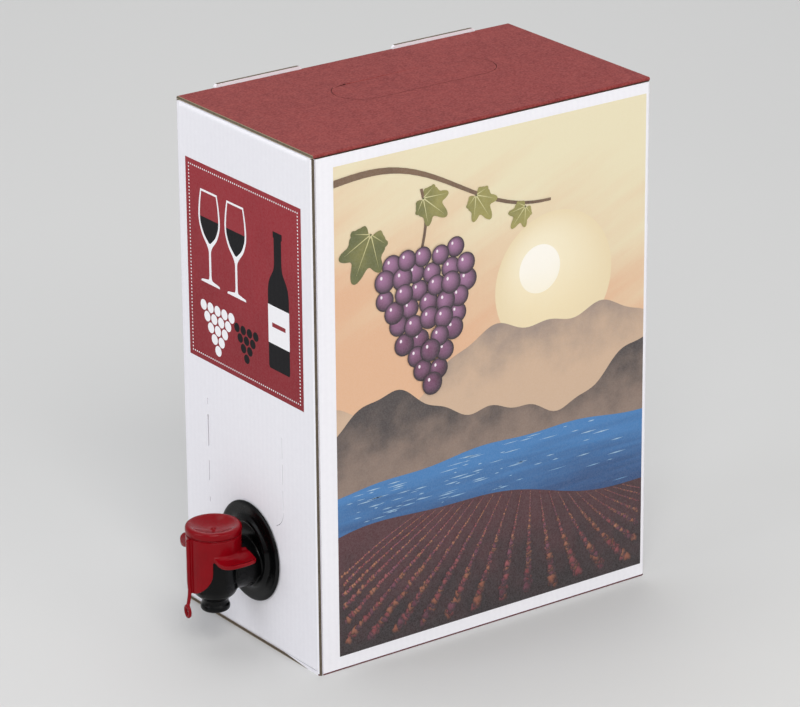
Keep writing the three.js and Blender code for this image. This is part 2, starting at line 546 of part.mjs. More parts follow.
// Colours read from the photograph
const white = new THREE.MeshStandardMaterial({ color: '#e6e6ea', roughness: 0.75, metalness: 0 });
const lidRed = new THREE.MeshStandardMaterial({ color: '#9b4f50', roughness: 0.7, metalness: 0 });
const flapRed = new THREE.MeshStandardMaterial({ color: '#9b4f50', roughness: 0.7, metalness: 0 });
const film = new THREE.MeshStandardMaterial({ color: '#c9ccd0', roughness: 0.3, metalness: 0.2 });
const natural = new THREE.MeshStandardMaterial({ color: '#e9e7df', roughness: 0.45, metalness: 0 });
const black = new THREE.MeshStandardMaterial({ color: '#24262a', roughness: 0.4, metalness: 0 });
const red = new THREE.MeshStandardMaterial({ color: '#981c26', roughness: 0.3, metalness: 0 });
const grey = new THREE.MeshStandardMaterial({ color: '#b9b9b4', roughness: 0.6, metalness: 0 });

const group = new THREE.Group();
group.name = 'bag_in_box';
group.add(meshOf('carton', makeCarton(), white));
group.add(meshOf('lid', makeLid(), lidRed));
group.add(meshOf('hand_flap', makeHandFlap(), flapRed));
group.add(meshOf('wine_bag', makeBag(), film));
group.add(meshOf('gland', makeGland(), natural));
group.add(meshOf('tap_body', makeTapBody(), black));
group.add(meshOf('tap_membrane', makeMembrane(), grey));
group.add(meshOf('tap_stem', makeStem(), natural));
group.add(meshOf('tap_handle', makeHandle(), red));

export default group;
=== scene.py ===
"""Bag in box carton for wine: corrugated board, a printed lid and picture panel, and a lift tap.

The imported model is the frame. Everything here is in metres in the same frame: +Z up, the
picture panel faces -Y, and the tap stands out of the end panel at -X.
"""
from __future__ import annotations

import logging
import math
import random
from dataclasses import dataclass, field
from enum import Enum
from typing import Any, Callable, Sequence

import bmesh
import bpy
from mathutils import Matrix, Vector, noise

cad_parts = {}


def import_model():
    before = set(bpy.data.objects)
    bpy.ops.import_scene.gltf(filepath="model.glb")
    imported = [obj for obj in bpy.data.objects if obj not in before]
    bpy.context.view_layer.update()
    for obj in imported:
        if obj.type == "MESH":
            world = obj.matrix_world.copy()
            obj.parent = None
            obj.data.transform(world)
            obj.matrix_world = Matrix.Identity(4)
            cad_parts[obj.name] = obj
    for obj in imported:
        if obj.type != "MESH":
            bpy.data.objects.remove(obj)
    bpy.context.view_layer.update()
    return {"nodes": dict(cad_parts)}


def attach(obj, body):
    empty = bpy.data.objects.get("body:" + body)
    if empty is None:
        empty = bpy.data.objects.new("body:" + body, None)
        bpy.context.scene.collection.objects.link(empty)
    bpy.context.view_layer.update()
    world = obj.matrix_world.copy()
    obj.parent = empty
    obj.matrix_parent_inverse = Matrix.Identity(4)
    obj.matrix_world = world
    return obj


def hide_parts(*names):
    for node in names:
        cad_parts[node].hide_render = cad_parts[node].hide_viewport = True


LOG = logging.getLogger("bag_in_box")
MM = 0.001
FLUTE_MM = 3.3  # from one flute of the board to the next
Point2 = tuple[float, float]
Point3 = tuple[float, float, float]


class Panel(Enum):
    """A printed panel, by the number of the axis that runs along it."""

    WIDE = 0
    END = 1


class Axis(Enum):
    """Where the heights of a turned shell run: up, or out of the end panel."""

    UP = "+Z"
    OUT = "-X"


def linear(hex_colour: str) -> tuple[float, float, float, float]:
    """Turns an sRGB hex colour into linear RGBA.

    Args:
        hex_colour: a colour such as "#a8323a".

    Returns:
        Linear red, green, blue and an alpha of one.
    """
    digits = hex_colour.lstrip("#")
    out = []
    for i in (0, 2, 4):
        c = int(digits[i : i + 2], 16) / 255.0
        out.append(c / 12.92 if c <= 0.04045 else ((c + 0.055) / 1.055) ** 2.4)
    return (out[0], out[1], out[2], 1.0)


class Graph:
    """The nodes of one material, with a short method for each step that the finishes use."""

    def __init__(self, name: str) -> None:
        """Starts a material from a Principled shader and object coordinates.

        Args:
            name: the material's name.
        """
        self.material = bpy.data.materials.new(name)
        self.material.use_nodes = True
        self.tree = self.material.node_tree
        self.tree.nodes.clear()
        self.shader = self.node("ShaderNodeBsdfPrincipled")
        self.node("ShaderNodeOutputMaterial", {"Surface": self.shader.outputs["BSDF"]})
        self.coords = self.node("ShaderNodeTexCoord").outputs
        self.point = self.coords["Object"]

    def node(self, kind: str, inputs: dict[Any, Any] | None = None, **settings: Any) -> bpy.types.Node:
        """Adds one node.

        Args:
            kind: Blender's name of the node type.
            inputs: what its sockets hold.
            settings: the node's own properties.

        Returns:
            The new node.
        """
        node = self.tree.nodes.new(kind)
        for key, value in settings.items():
            setattr(node, key, value)
        self.feed(node, inputs or {})
        return node

    def feed(self, node: bpy.types.Node, inputs: dict[Any, Any]) -> None:
        """Sets and links a node's sockets.

        Args:
            node: the node.
            inputs: socket name or number to a value, a hex colour, or the socket that feeds it.
        """
        for key, value in inputs.items():
            if isinstance(value, bpy.types.NodeSocket):
                self.tree.links.new(value, node.inputs[key])
            else:
                node.inputs[key].default_value = linear(value) if isinstance(value, str) else value

    def finish(self, inputs: dict[str, Any]) -> bpy.types.Material:
        """Sets and links the shader's sockets and hands over the material."""
        self.feed(self.shader, inputs)
        return self.material

    def math(self, operation: str, *values: Any) -> bpy.types.NodeSocket:
        """One math step, by Blender's name of it."""
        return self.node("ShaderNodeMath", dict(enumerate(values)), operation=operation).outputs[0]

    def chain(self, operation: str, values: Sequence[Any]) -> bpy.types.NodeSocket:
        """The same step from each value to the next.

        Args:
            operation: Blender's name of the step.
            values: two numbers or sockets, or more.

        Returns:
            The last result's socket.
        """
        out = values[0]
        for value in values[1:]:
            out = self.math(operation, out, value)
        return out

    def add(self, *values: Any) -> bpy.types.NodeSocket:
        """Sum."""
        return self.chain("ADD", values)

    def mul(self, *values: Any) -> bpy.types.NodeSocket:
        """Product, which is also "all of these"."""
        return self.chain("MULTIPLY", values)

    def most(self, *values: Any) -> bpy.types.NodeSocket:
        """Largest, which is also "any of these"."""
        return self.chain("MAXIMUM", values)

    def sub(self, a: Any, b: Any) -> bpy.types.NodeSocket:
        """Difference."""
        return self.math("SUBTRACT", a, b)

    def less(self, a: Any, b: Any) -> bpy.types.NodeSocket:
        """One where a is below b, else nought."""
        return self.math("LESS_THAN", a, b)

    def more(self, a: Any, b: Any) -> bpy.types.NodeSocket:
        """One where a is above b, else nought."""
        return self.math("GREATER_THAN", a, b)

    def size(self, a: Any) -> bpy.types.NodeSocket:
        """Absolute value."""
        return self.math("ABSOLUTE", a)

    def wave(self, along: Any) -> bpy.types.NodeSocket:
        """The swell of the flutes along an axis."""
        return self.math("SINE", self.mul(along, 2 * math.pi / (FLUTE_MM * MM)))

    def split(self, coordinates: str) -> Any:
        """X, Y and Z of the object's coordinates or of its normal."""
        return self.node("ShaderNodeSeparateXYZ", {0: self.coords[coordinates]}).outputs

    def mix(self, factor: Any, a: Any, b: Any) -> bpy.types.NodeSocket:
        """A colour between a and b, by how much of b there is."""
        return self.node("ShaderNodeMix", {0: factor, 6: a, 7: b}, data_type="RGBA").outputs[2]

    def noise(self, scale: float, detail: float, at: Any = None, **inputs: float) -> bpy.types.NodeSocket:
        """Noise from nought to one.

        Args:
            scale: how many swells there are in a metre.
            detail: how many finer layers it has.
            at: where it is read, if not at the object's coordinates.
            inputs: more of the node's values.

        Returns:
            The noise's socket.
        """
        inputs = {"Vector": at or self.point, "Scale": scale, "Detail": detail, **inputs}
        return self.node("ShaderNodeTexNoise", inputs).outputs["Fac"]

    def span(self, value: Any, low: float, high: float, to_low: float = 0.0, to_high: float = 1.0,
             **settings: Any) -> bpy.types.NodeSocket:
        """Maps one range to another.

        Args:
            value: what is mapped.
            low: where the first range starts.
            high: where the first range ends.
            to_low: where the second range starts.
            to_high: where the second range ends.
            settings: the node's own properties.

        Returns:
            The mapped value's socket.
        """
        inputs = dict(enumerate((value, low, high, to_low, to_high)))
        return self.node("ShaderNodeMapRange", inputs, **settings).outputs[0]

    def bump(self, height: Any, depth_mm: float, strength: float) -> bpy.types.NodeSocket:
        """The normal of a relief that is so many millimetres deep."""
        inputs = {"Height": height, "Distance": depth_mm * MM, "Strength": strength}
        return self.node("ShaderNodeBump", inputs).outputs["Normal"]


@dataclass(frozen=True)
class CorrugatedBoard:
    """E-flute board with a clay-coated white liner, die-cut and folded.

    The coating gives a cool, almost matt white. The flutes show through it as faint upright
    ribs, and every die-cut edge shows brown liners with the flute between them.
    """

    name: str = "clay_coated_corrugated_board"
    white: str = "#fbfafe"
    shade: str = "#f4f3f9"
    inner: str = "#e2e0e0"
    kraft: str = "#75634a"
    core: str = "#2c2118"
    ink: str = "#7d1e20"
    ink_dark: str = "#671416"
    board_mm: float = 1.6
    fibre_mm: float = 0.45
    cloud_mm: float = 40.0
    rib_depth_mm: float = 0.035
    ink_depth_mm: float = 0.04
    hand_x_mm: float = 7.0
    hand_half_mm: float = 46.0
    hand_y_mm: float = 9.5
    hand_half_depth_mm: float = 17.0

    def _paper(self, g: Graph) -> tuple[Any, Any]:
        """Fine fibre, drawn four times as coarse as it is, and broad cloudiness of the paper.

        Args:
            g: the material's nodes.

        Returns:
            The fibre's and the cloud's value sockets.
        """
        fibre = g.noise(1000.0 / self.fibre_mm / 4, 3.0, Roughness=0.6)
        return fibre, g.noise(1000.0 / self.cloud_mm / 2, 2.0)

    def _cut_edge(self, g: Graph, depth: Any, liner_share: float) -> Any:
        """Tells the liners from the flute on a raw edge.

        Args:
            g: the material's nodes.
            depth: how far into the board a point is, in metres.
            liner_share: from the board's middle to a liner, as a share of the board.

        Returns:
            A socket with one on the liners and nought on the flute.
        """
        across = g.sub(g.math("DIVIDE", depth, self.board_mm * MM), 0.5)
        return g.more(g.size(across), liner_share)

    def carton(self, width: float, depth: float, tab_top: float) -> bpy.types.Material:
        """The carton's board: white outside, with its raw edges found from where they are.

        Args:
            width: outside, along X, in metres.
            depth: outside, along Y, in metres.
            tab_top: height of the lock tabs in metres.

        Returns:
            The material.
        """
        g = Graph(self.name)
        xyz, normal = g.split("Object"), g.split("Normal")
        fibre, cloud = self._paper(g)
        board = self.board_mm * MM

        # Flutes run up the walls, so the ribs follow X on the wide panels and Y on the ends
        rib = g.mul(g.wave(g.add(xyz[0], xyz[1])), g.less(g.size(normal[2]), 0.5))
        tone = g.mix(cloud, self.shade, self.white)
        tone = g.mix(g.mul(fibre, 0.24), tone, "#dad8e0")
        tone = g.mix(g.math("MULTIPLY_ADD", rib, 0.035, 0.035), tone, "#dddce4")

        # Raw edges: the top edges, the tap panel's end at the corner seam and the bottom panel's end
        rims = g.most(g.more(xyz[1], depth / 2 - board * 1.05), g.less(xyz[1], -depth / 2 + board * 1.05),
                      g.more(xyz[2], tab_top - 0.4 * MM))
        top_edge = g.mul(g.more(normal[2], 0.9), rims)
        seam = g.mul(g.less(xyz[0], -width / 2 + board * 1.2), g.less(xyz[1], -depth / 2 + 0.9 * MM),
                     g.less(normal[1], -0.55))
        # The bottom flap's edge sinks behind the end panel towards the front corner
        reach = g.span(xyz[1], -45 * MM, -22 * MM, 0.0, board + 0.3 * MM)
        low = g.mul(g.less(xyz[2], reach), g.less(xyz[0], -width / 2 + MM), g.less(g.size(normal[2]), 0.6))

        # Brown liners with the darker flute between them
        depth_in = g.add(g.mul(seam, g.add(xyz[0], width / 2)), g.mul(low, xyz[2]),
                         g.mul(top_edge, g.sub(depth / 2, g.size(xyz[1]))))
        edge = g.mix(self._cut_edge(g, depth_in, 0.33), self.core, self.kraft)
        edge = g.mix(g.mul(fibre, 0.35), edge, "#a8977b")

        # The bottom panel is printed as the lid is; the same dark colour on the sloping faces of the bottom
        # creases is painted shade
        bottom_ink_and_shade = g.mul(g.less(normal[2], -0.45), g.less(xyz[2], 2.0 * MM))
        # A thin strip along the foot of the wide panels in that dark colour is a painted contact shadow
        foot = g.mul(g.less(xyz[2], 0.7 * MM), g.more(g.size(normal[1]), 0.3))
        colour = g.mix(g.most(bottom_ink_and_shade, foot), tone, "#5a1c1e")
        colour = g.mix(g.most(top_edge, seam, low), colour, edge)
        height = g.add(g.mul(rib, 0.5), g.mul(fibre, 0.45))
        return g.finish({"Base Color": colour, "Normal": g.bump(height, self.rib_depth_mm, 0.8),
                         "Roughness": 0.62, "IOR": 1.5})

    def printed(self, name: str, height: float) -> bpy.types.Material:
        """The lid's board: red ink outside, white liner inside, brown where it is cut.

        Args:
            name: the material's name.
            height: top of the board in metres.

        Returns:
            The material.
        """
        g = Graph(name)
        xyz, normal = g.split("Object"), g.split("Normal")
        fibre, cloud = self._paper(g)

        # Thin ink lies unevenly on the liner's fibres, drawn a little coarser than they are
        flecks = g.span(g.noise(950.0, 4.0, Roughness=0.7), 0.41, 0.60)
        blotches = g.span(g.noise(210.0, 4.0, Roughness=0.65), 0.35, 0.65)
        ink = g.mix(cloud, self.ink_dark, self.ink)
        ink = g.mix(g.mul(blotches, 0.30), ink, "#a4463f")
        ink = g.mix(g.mul(flecks, 0.38), ink, "#b05e59")
        wave = g.wave(xyz[0])
        ink = g.mix(g.math("MULTIPLY_ADD", wave, 0.02, 0.02), ink, "#6a2228")

        # Outside is the lid's top and the outer side of its tuck flap and creases
        rear = g.mul(g.more(normal[1], 0.3), g.more(xyz[1], 0.0))
        front = g.mul(g.less(normal[1], -0.3), g.less(xyz[1], -45 * MM))
        outside = g.most(g.more(normal[2], 0.2), rear, front)
        colour = g.mix(outside, g.mix(fibre, self.inner, self.white), ink)

        edge = g.mix(self._cut_edge(g, g.sub(height, xyz[2]), 0.30), self.core, "#9a8a6c")
        edge = g.mix(g.mul(fibre, 0.5), edge, "#b9ab8e")
        colour = g.mix(g.more(g.size(normal[0]), 0.7), colour, edge)

        # The cut round the hand hole is shut tight; its upright cut faces are painted dark red-brown as
        # painted shade in the slit, so it shows as a thin dark line
        near_x = g.less(g.size(g.sub(xyz[0], self.hand_x_mm * MM)), self.hand_half_mm * MM)
        near_y = g.less(g.size(g.sub(xyz[1], self.hand_y_mm * MM)), self.hand_half_depth_mm * MM)
        colour = g.mix(g.mul(g.less(g.size(normal[2]), 0.5), near_x, near_y), colour, "#5a2120")
        relief = g.add(g.mul(wave, 0.3), g.mul(fibre, 0.7))
        return g.finish({"Base Color": colour, "Normal": g.bump(relief, self.ink_depth_mm, 0.8),
                         "Roughness": 0.66, "IOR": 1.48, "Specular IOR Level": 0.35})


@dataclass(frozen=True)
class MouldedPlastic:
    """Injection-moulded polyolefin: an even colour, a soft satin shine and slight flow marks."""

    name: str
    colour: str
    deep: str
    roughness: float = 0.34
    grain_mm: float = 0.5
    relief_mm: float = 0.010
    shine: float = 0.4
    flow_scale: float = 140.0

    def make(self) -> bpy.types.Material:
        """Makes the material.

        Returns:
            The material.
        """
        g = Graph(self.name)
        flow = g.noise(self.flow_scale, 3.0)
        grain = g.noise(1000.0 / self.grain_mm, 2.0)
        return g.finish({
            "Base Color": g.mix(flow, self.deep, self.colour),
            "Roughness": g.math("MULTIPLY_ADD", flow, 0.16, self.roughness - 0.08),
            "Normal": g.bump(grain, self.relief_mm, 0.6),
            "IOR": 1.49, "Specular IOR Level": self.shine})


@dataclass(frozen=True)
class LaminatedFilm:
    """Metallised polyethylene film of the bag: silvery, creased and glossy."""

    name: str = "metallised_laminate_film"
    colour: str = "#c4c8cc"
    crease_scale: float = 45.0
    crease_mm: float = 1.2

    def make(self) -> bpy.types.Material:
        """Makes the material.

        Returns:
            The material.
        """
        g = Graph(self.name)
        crease = g.noise(self.crease_scale, 5.0, Distortion=1.6)
        # The film is painted darker where the crease relief is low: painted shade in the folds
        return g.finish({"Base Color": g.mix(crease, "#9ea3a8", self.colour),
                         "Normal": g.bump(crease, self.crease_mm, 0.7), "Metallic": 0.85, "Roughness": 0.28})


@dataclass(frozen=True)
class Ink:
    """Offset ink on coated board: flat fields that pass softly from one tone to the next.

    A fine dot grain gives the look of a screened print. The tones change along one direction,
    or with a soft cloudiness, so no field is one flat colour.
    """

    name: str
    low: str
    high: str
    start: Point2 = (0.0, 0.0)
    end: Point2 = (0.0, 0.1)
    cloud_mm: float = 40.0
    cloud: float = 0.25
    stretch: Point2 = (1.0, 1.0)
    turn_deg: float = 0.0
    grain: float = 0.08
    roughness: float = 0.55
    rim: str = ""
    shine: float = 0.3
    screen_scale: float = 1500.0
    rib_mm: float = 0.012

    def make(self, panel: Panel) -> bpy.types.Material:
        """Makes the material.

        Args:
            panel: the panel that it is printed on; up is always Z.

        Returns:
            The material.
        """
        g = Graph(self.name)
        xyz = g.split("Object")
        along, up = xyz[panel.value], xyz[2]
        dx, dz = self.end[0] - self.start[0], self.end[1] - self.start[1]
        reach = max(dx * dx + dz * dz, 1e-9)
        part = g.add(g.mul(g.sub(along, self.start[0]), dx / reach),
                     g.mul(g.sub(up, self.start[1]), dz / reach))
        c, s = math.cos(math.radians(self.turn_deg)), math.sin(math.radians(self.turn_deg))
        u = g.add(g.mul(along, c * self.stretch[0]), g.mul(up, s * self.stretch[0]))
        v = g.add(g.mul(along, -s * self.stretch[1]), g.mul(up, c * self.stretch[1]))
        plane = g.node("ShaderNodeCombineXYZ", {0: u, 1: v}).outputs[0]
        clouds = g.noise(1000.0 / self.cloud_mm, 4.0, plane, Roughness=0.55)
        place = g.add(part, g.mul(g.sub(clouds, 0.5), self.cloud * 4))
        colour = g.mix(g.span(place, 0.0, 1.0, interpolation_type="SMOOTHSTEP"), self.low, self.high)
        if self.rim:
            tone = g.node("ShaderNodeAttribute", attribute_name="tone").outputs["Fac"]
            colour = g.mix(tone, self.rim, colour)
        colour = g.mix(g.mul(g.noise(self.screen_scale, 1.0), self.grain), colour, "#ffffff")
        return g.finish({"Base Color": colour, "Normal": g.bump(g.wave(along), self.rib_mm, 0.7),
                         "Roughness": self.roughness, "Specular IOR Level": self.shine})


def piece(name: str, mesh: bmesh.types.BMesh, materials: Sequence[bpy.types.Material] = (),
          smooth: bool = False) -> bpy.types.Object:
    """Puts what mesh code made into the scene.

    Args:
        name: the object's name.
        mesh: the mesh, which is used up.
        materials: its materials, in the order of its slots.
        smooth: whether it is shaded smooth.

    Returns:
        The object.
    """
    data = bpy.data.meshes.new(name)
    mesh.to_mesh(data)
    mesh.free()
    if smooth:
        data.polygons.foreach_set("use_smooth", [True] * len(data.polygons))
    for mat in materials:
        data.materials.append(mat)
    obj = bpy.data.objects.new(name, data)
    bpy.context.scene.collection.objects.link(obj)
    return obj


def face_towards(face: bmesh.types.BMFace, wanted: Vector) -> None:
    """Turns a face over where it looks the other way.

    Args:
        face: the face.
        wanted: the way it should look.
    """
    face.normal_update()
    if face.normal.dot(wanted) < 0:
        face.normal_flip()


def placed(x: float, y: float, turn: float, u: float, z: float) -> Point2:
    """Turns a point about the origin and moves it to (u, z)."""
    return u + x * math.cos(turn) - y * math.sin(turn), z + x * math.sin(turn) + y * math.cos(turn)


class Print:
    """Flat printed shapes on one upright panel, each a hair in front of the one before."""

    FIRST_MM = 0.03
    STEP_MM = 0.006
    BALL_TONES = ((1.0, 0.0), (0.9, 0.14), (0.72, 0.42), (0.5, 0.72), (0.26, 0.94), (0.06, 1.0))

    def __init__(self, name: str, panel: Panel, surface: float, body: str) -> None:
        """Starts an empty print on a panel that looks to -Y or -X.

        Args:
            name: the piece's name.
            panel: the panel that it is printed on.
            surface: the panel's outer face, on the other axis, in metres.
            body: the CAD body that it rides on.
        """
        self.name, self.panel, self.surface, self.body = name, panel, surface, body
        self.looks = Vector((0, -1, 0)) if panel is Panel.WIDE else Vector((-1, 0, 0))
        self.mesh = bmesh.new()
        self.tone = self.mesh.verts.layers.float.new("tone")
        self.materials: list[bpy.types.Material] = []

    def point(self, u: float, z: float, level: float) -> Point3:
        """A print point in metres.

        Args:
            u: along the panel in mm.
            z: height in mm.
            level: which layer of ink.

        Returns:
            The point.
        """
        other = self.surface - (self.FIRST_MM + self.STEP_MM * level) * MM
        return (u * MM, other, z * MM) if self.panel is Panel.WIDE else (other, u * MM, z * MM)

    def ink(self, ink: Ink) -> int:
        """Adds an ink.

        Args:
            ink: the ink.

        Returns:
            Its slot number.
        """
        self.materials.append(ink.make(self.panel))
        return len(self.materials) - 1

    def field(self, outline: Sequence[Point2], slot: int, level: float) -> None:
        """Adds one filled shape.

        Args:
            outline: its corners in mm, in order, convex or a thin strip.
            slot: the ink's slot number.
            level: the layer of ink.
        """
        self._face([self.mesh.verts.new(self.point(u, z, level)) for u, z in outline], slot)

    def _face(self, corners: Sequence[bmesh.types.BMVert], slot: int) -> None:
        """Adds a face that looks out of the panel."""
        face = self.mesh.faces.new(corners)
        face.material_index = slot
        face_towards(face, self.looks)

    def band(self, us: Sequence[float], low: float, high: Callable[[float], float], slot: int,
             level: float) -> None:
        """Adds a field between a level edge and a curve above it.

        Args:
            us: the columns, in mm.
            low: height of the lower edge.
            high: upper edge at a column.
            slot: the ink's slot number.
            level: the layer of ink.
        """
        for a, b in zip(us[:-1], us[1:]):
            self.field([(a, low), (b, low), (b, high(b)), (a, high(a))], slot, level)

    def disc(self, u: float, z: float, ru: float, rz: float, slot: int, level: float,
             count: int = 28) -> None:
        """Adds an ellipse.

        Args:
            u: its middle along the panel in mm.
            z: its middle's height in mm.
            ru: half its width.
            rz: half its height.
            slot: the ink's slot number.
            level: the layer of ink.
            count: how many corners it has.
        """
        turns = [2 * math.pi * i / count for i in range(count)]
        self.field([(u + ru * math.cos(a), z + rz * math.sin(a)) for a in turns], slot, level)

    def ball(self, u: float, z: float, r: float, slot: int, level: float, count: int = 24,
             ragged: float = 0.0) -> None:
        """Adds a disc shaded like a ball lit from the upper left, by a tone from rim to highlight.

        Args:
            u: its middle along the panel in mm.
            z: its middle's height in mm.
            r: its radius.
            slot: the slot number of an ink with a rim colour.
            level: the layer of ink.
            count: how many corners it has.
            ragged: how far its outline strays, as a share of its radius.
        """
        rings = []
        for share, tone in self.BALL_TONES:
            shift = (1 - share) * 0.36 * r
            ring = []
            for i in range(count):
                a = 2 * math.pi * i / count
                stray = ragged * math.sin(3 * a + 5 * u) + 0.6 * ragged * math.sin(5 * a + 3 * z)
                far = r * share * (1 + stray)
                vert = self.mesh.verts.new(self.point(u - shift + far * math.cos(a),
                                                      z + shift + far * math.sin(a), level))
                vert[self.tone] = tone
                ring.append(vert)
            rings.append(ring)
        faces = [[a[i], a[(i + 1) % count], b[(i + 1) % count], b[i]]
                 for a, b in zip(rings[:-1], rings[1:]) for i in range(count)] + [rings[-1]]
        for corners in faces:
            self._face(corners, slot)

    def finish(self, slot: str) -> bpy.types.Object:
        """Makes the print's object.

        Args:
            slot: not used.

        Returns:
            The object, riding on its body.
        """
        bmesh.ops.triangulate(self.mesh, faces=[f for f in self.mesh.faces if len(f.verts) > 4])
        obj = piece(self.name, self.mesh, self.materials)
        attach(obj, self.body)
        return obj


@dataclass
class PictureShape:
    """The picture on the wide panel: evening hills over a vineyard, with a vine in front."""

    left: float = -82.0
    right: float = 90.2
    bottom: float = 6.6
    top: float = 237.8
    columns: int = 87
    # Middle and radius, in mm
    halo: Point3 = (38, 160, 33)
    sun: Point3 = (30, 167, 11.5)
    round_points: int = 64
    # Far hills, near hills, lake and field: a height, then waves by height, width and start
    ridges: tuple[tuple[float, tuple[Point3, ...]], ...] = (
        (132, ((13, 34, 0.6), (5, 13, 1.9), (1.6, 4.7, 0.3))),
        (111, ((12, 27, 3.6), (4, 11, 0.2), (1.3, 3.9, 1.0))),
        (86, ((3.0, 41, 1.1), (0.7, 9, 2.0))),
        (58, ((9, 46, 2.4), (1.5, 14, 0.5))))
    glints: int = 90
    rows: int = 23
    row_feet: float = 360.0
    row_heads: float = 120.0
    row_heads_at: float = 20.0
    near_clump: float = 3.1
    far_clump: float = 0.34
    clump_step: float = 0.006
    vine_steps: int = 24
    # Where each leaf's stalk joins it, its length and the way it points
    leaves: tuple[tuple[float, float, float, float], ...] = (
        (-60, 209, 29, -2.0), (-38, 217, 21, -0.7), (-8, 213, 19, -1.0), (24, 201, 15, -2.3))
    lobes: tuple[Point2, ...] = ((0.0, 1.0), (0.95, 0.86), (-0.95, 0.86), (1.95, 0.66), (-1.95, 0.66))
    leaf_points: int = 120
    leaf_teeth: int = 26
    bunch: tuple[int, ...] = (5, 6, 6, 5, 5, 4, 3, 2, 1)
    seed: int = 7

    def build(self, surface: float) -> bpy.types.Object:
        """Prints the picture.

        Args:
            surface: the panel's outer face, in metres along Y.

        Returns:
            The print.
        """
        art = Print("picture_print", Panel.WIDE, surface, "carton")
        steps = self.columns - 1
        us = [self.left + (self.right - self.left) * i / steps for i in range(self.columns)]
        sky = art.ink(Ink("offset_ink_sky", "#e3b48f", "#ebe0bd", (0, 0.130), (0.03, 0.232), 55, 0.30,
                          (0.35, 2.4), 22, 0.08))
        halo = art.ink(Ink("offset_ink_halo", "#f6e3b8", "#f9efd2", (0, 0.13), (0, 0.19), 30, 0.1,
                           rim="#ebd8b0"))
        sun = art.ink(Ink("offset_ink_sun", "#fbf1d6", "#fffaf0", (0, 0.14), (0, 0.18), 30, 0.1))
        far = art.ink(Ink("offset_ink_far_hills", "#d0b195", "#8f7f77", (0, 0.112), (0.0, 0.158), 16, 0.22))
        mid = art.ink(Ink("offset_ink_near_hills", "#8c776a", "#443b3a", (0, 0.082), (0.0, 0.124), 13, 0.28))
        lake = art.ink(Ink("offset_ink_lake", "#1b4578", "#3d7cb8", (0, 0.05), (0.0, 0.088), 20, 0.30,
                           (0.25, 3.0)))
        glint = art.ink(Ink("offset_ink_glint", "#6ea0cc", "#a9c4d8", (0, 0.05), (0.0, 0.088), 10, 0.2))
        soil = art.ink(Ink("offset_ink_vineyard", "#1e0d12", "#4e2229", (0, 0.0), (0.0, 0.07), 20, 0.3))
        rows = [art.ink(Ink("offset_ink_row_" + name, low, high, (0, 0.0), (0.0, 0.07), 9, 0.3, rim=rim))
                for name, low, high, rim in (("wine", "#7c2c33", "#a4565a", "#240d10"),
                                             ("plum", "#5a2333", "#8c4a60", "#1d0a12"),
                                             ("rust", "#8a4a34", "#b8785a", "#2a120c"))]
        # Levels from the board outwards: sky, sun, hills, lake and soil, then vines, leaves and grapes
        art.band(us, self.bottom, lambda u: self.top, sky, 1)
        art.ball(*self.halo, halo, 1.5, self.round_points)
        u, z, r = self.sun
        art.disc(u, z, r, r, sun, 2.5, self.round_points)

        def ridge(base: float, waves: Sequence[Point3]) -> Callable[[float], float]:
            """A hill's outline from a few waves, each a height, a width and a start."""
            return lambda u: base + sum(h * math.sin(u / w + p) for h, w, p in waves)

        lines = [ridge(base, waves) for base, waves in self.ridges]
        for level, (line, ink) in enumerate(zip(lines, (far, mid, lake, soil)), 3):
            art.band(us, self.bottom, line, ink, level)
        lake_line, near_line = lines[2:]
        rng = random.Random(self.seed)
        for _ in range(self.glints):
            u = rng.uniform(self.left + 4, self.right - 14)
            z = rng.uniform(near_line(u) + 1, lake_line(u) - 1)
            w, h = rng.uniform(2, 12), rng.uniform(0.12, 0.3)
            if near_line(u + w) + 0.6 < z < lake_line(u + w) - 0.6:
                art.field([(u, z), (u + w / 2, z - h), (u + w, z), (u + w / 2, z + h)], glint, 5.5)
        self._vineyard(art, near_line, rows, rng)
        self._vine(art)
        return art.finish("carton_board")

    def _vineyard(self, art: Print, crest: Callable[[float], float], inks: Sequence[int],
                  rng: random.Random) -> None:
        """Adds rows of vines that run away to the crest of the field, as clumps of leaves.

        Args:
            art: the print.
            crest: height of the field's far edge at a column.
            inks: the leaves' inks.
            rng: the source of the spread.
        """
        for i in range(self.rows):
            t = (i + 0.5) / self.rows
            foot = self.left - self.row_feet / 4 + t * self.row_feet
            head = self.row_heads_at + (t - 0.5) * self.row_heads
            s, n = 0.0, 0
            while s < 0.985:
                n += 1
                r = self.near_clump * (1 - s) ** 1.25 + self.far_clump
                u = foot + (head - foot) * s + rng.uniform(-0.25, 0.25) * r
                z = self.bottom + (crest(u) - self.bottom) * s + rng.uniform(-0.15, 0.3) * r
                reach = r * 1.35
                if self.left + reach < u < self.right - reach and z > self.bottom + reach:
                    # Clumps that overlap lie on levels of their own, so none flickers through another
                    level = 7 + n % 8 + 8 * (i % 3)
                    art.ball(u, z, r * rng.uniform(0.55, 0.95), rng.choice(inks), level,
                             14 if r > 1 else 6, 0.20 if r > 0.8 else 0.0)
                s += self.clump_step * r

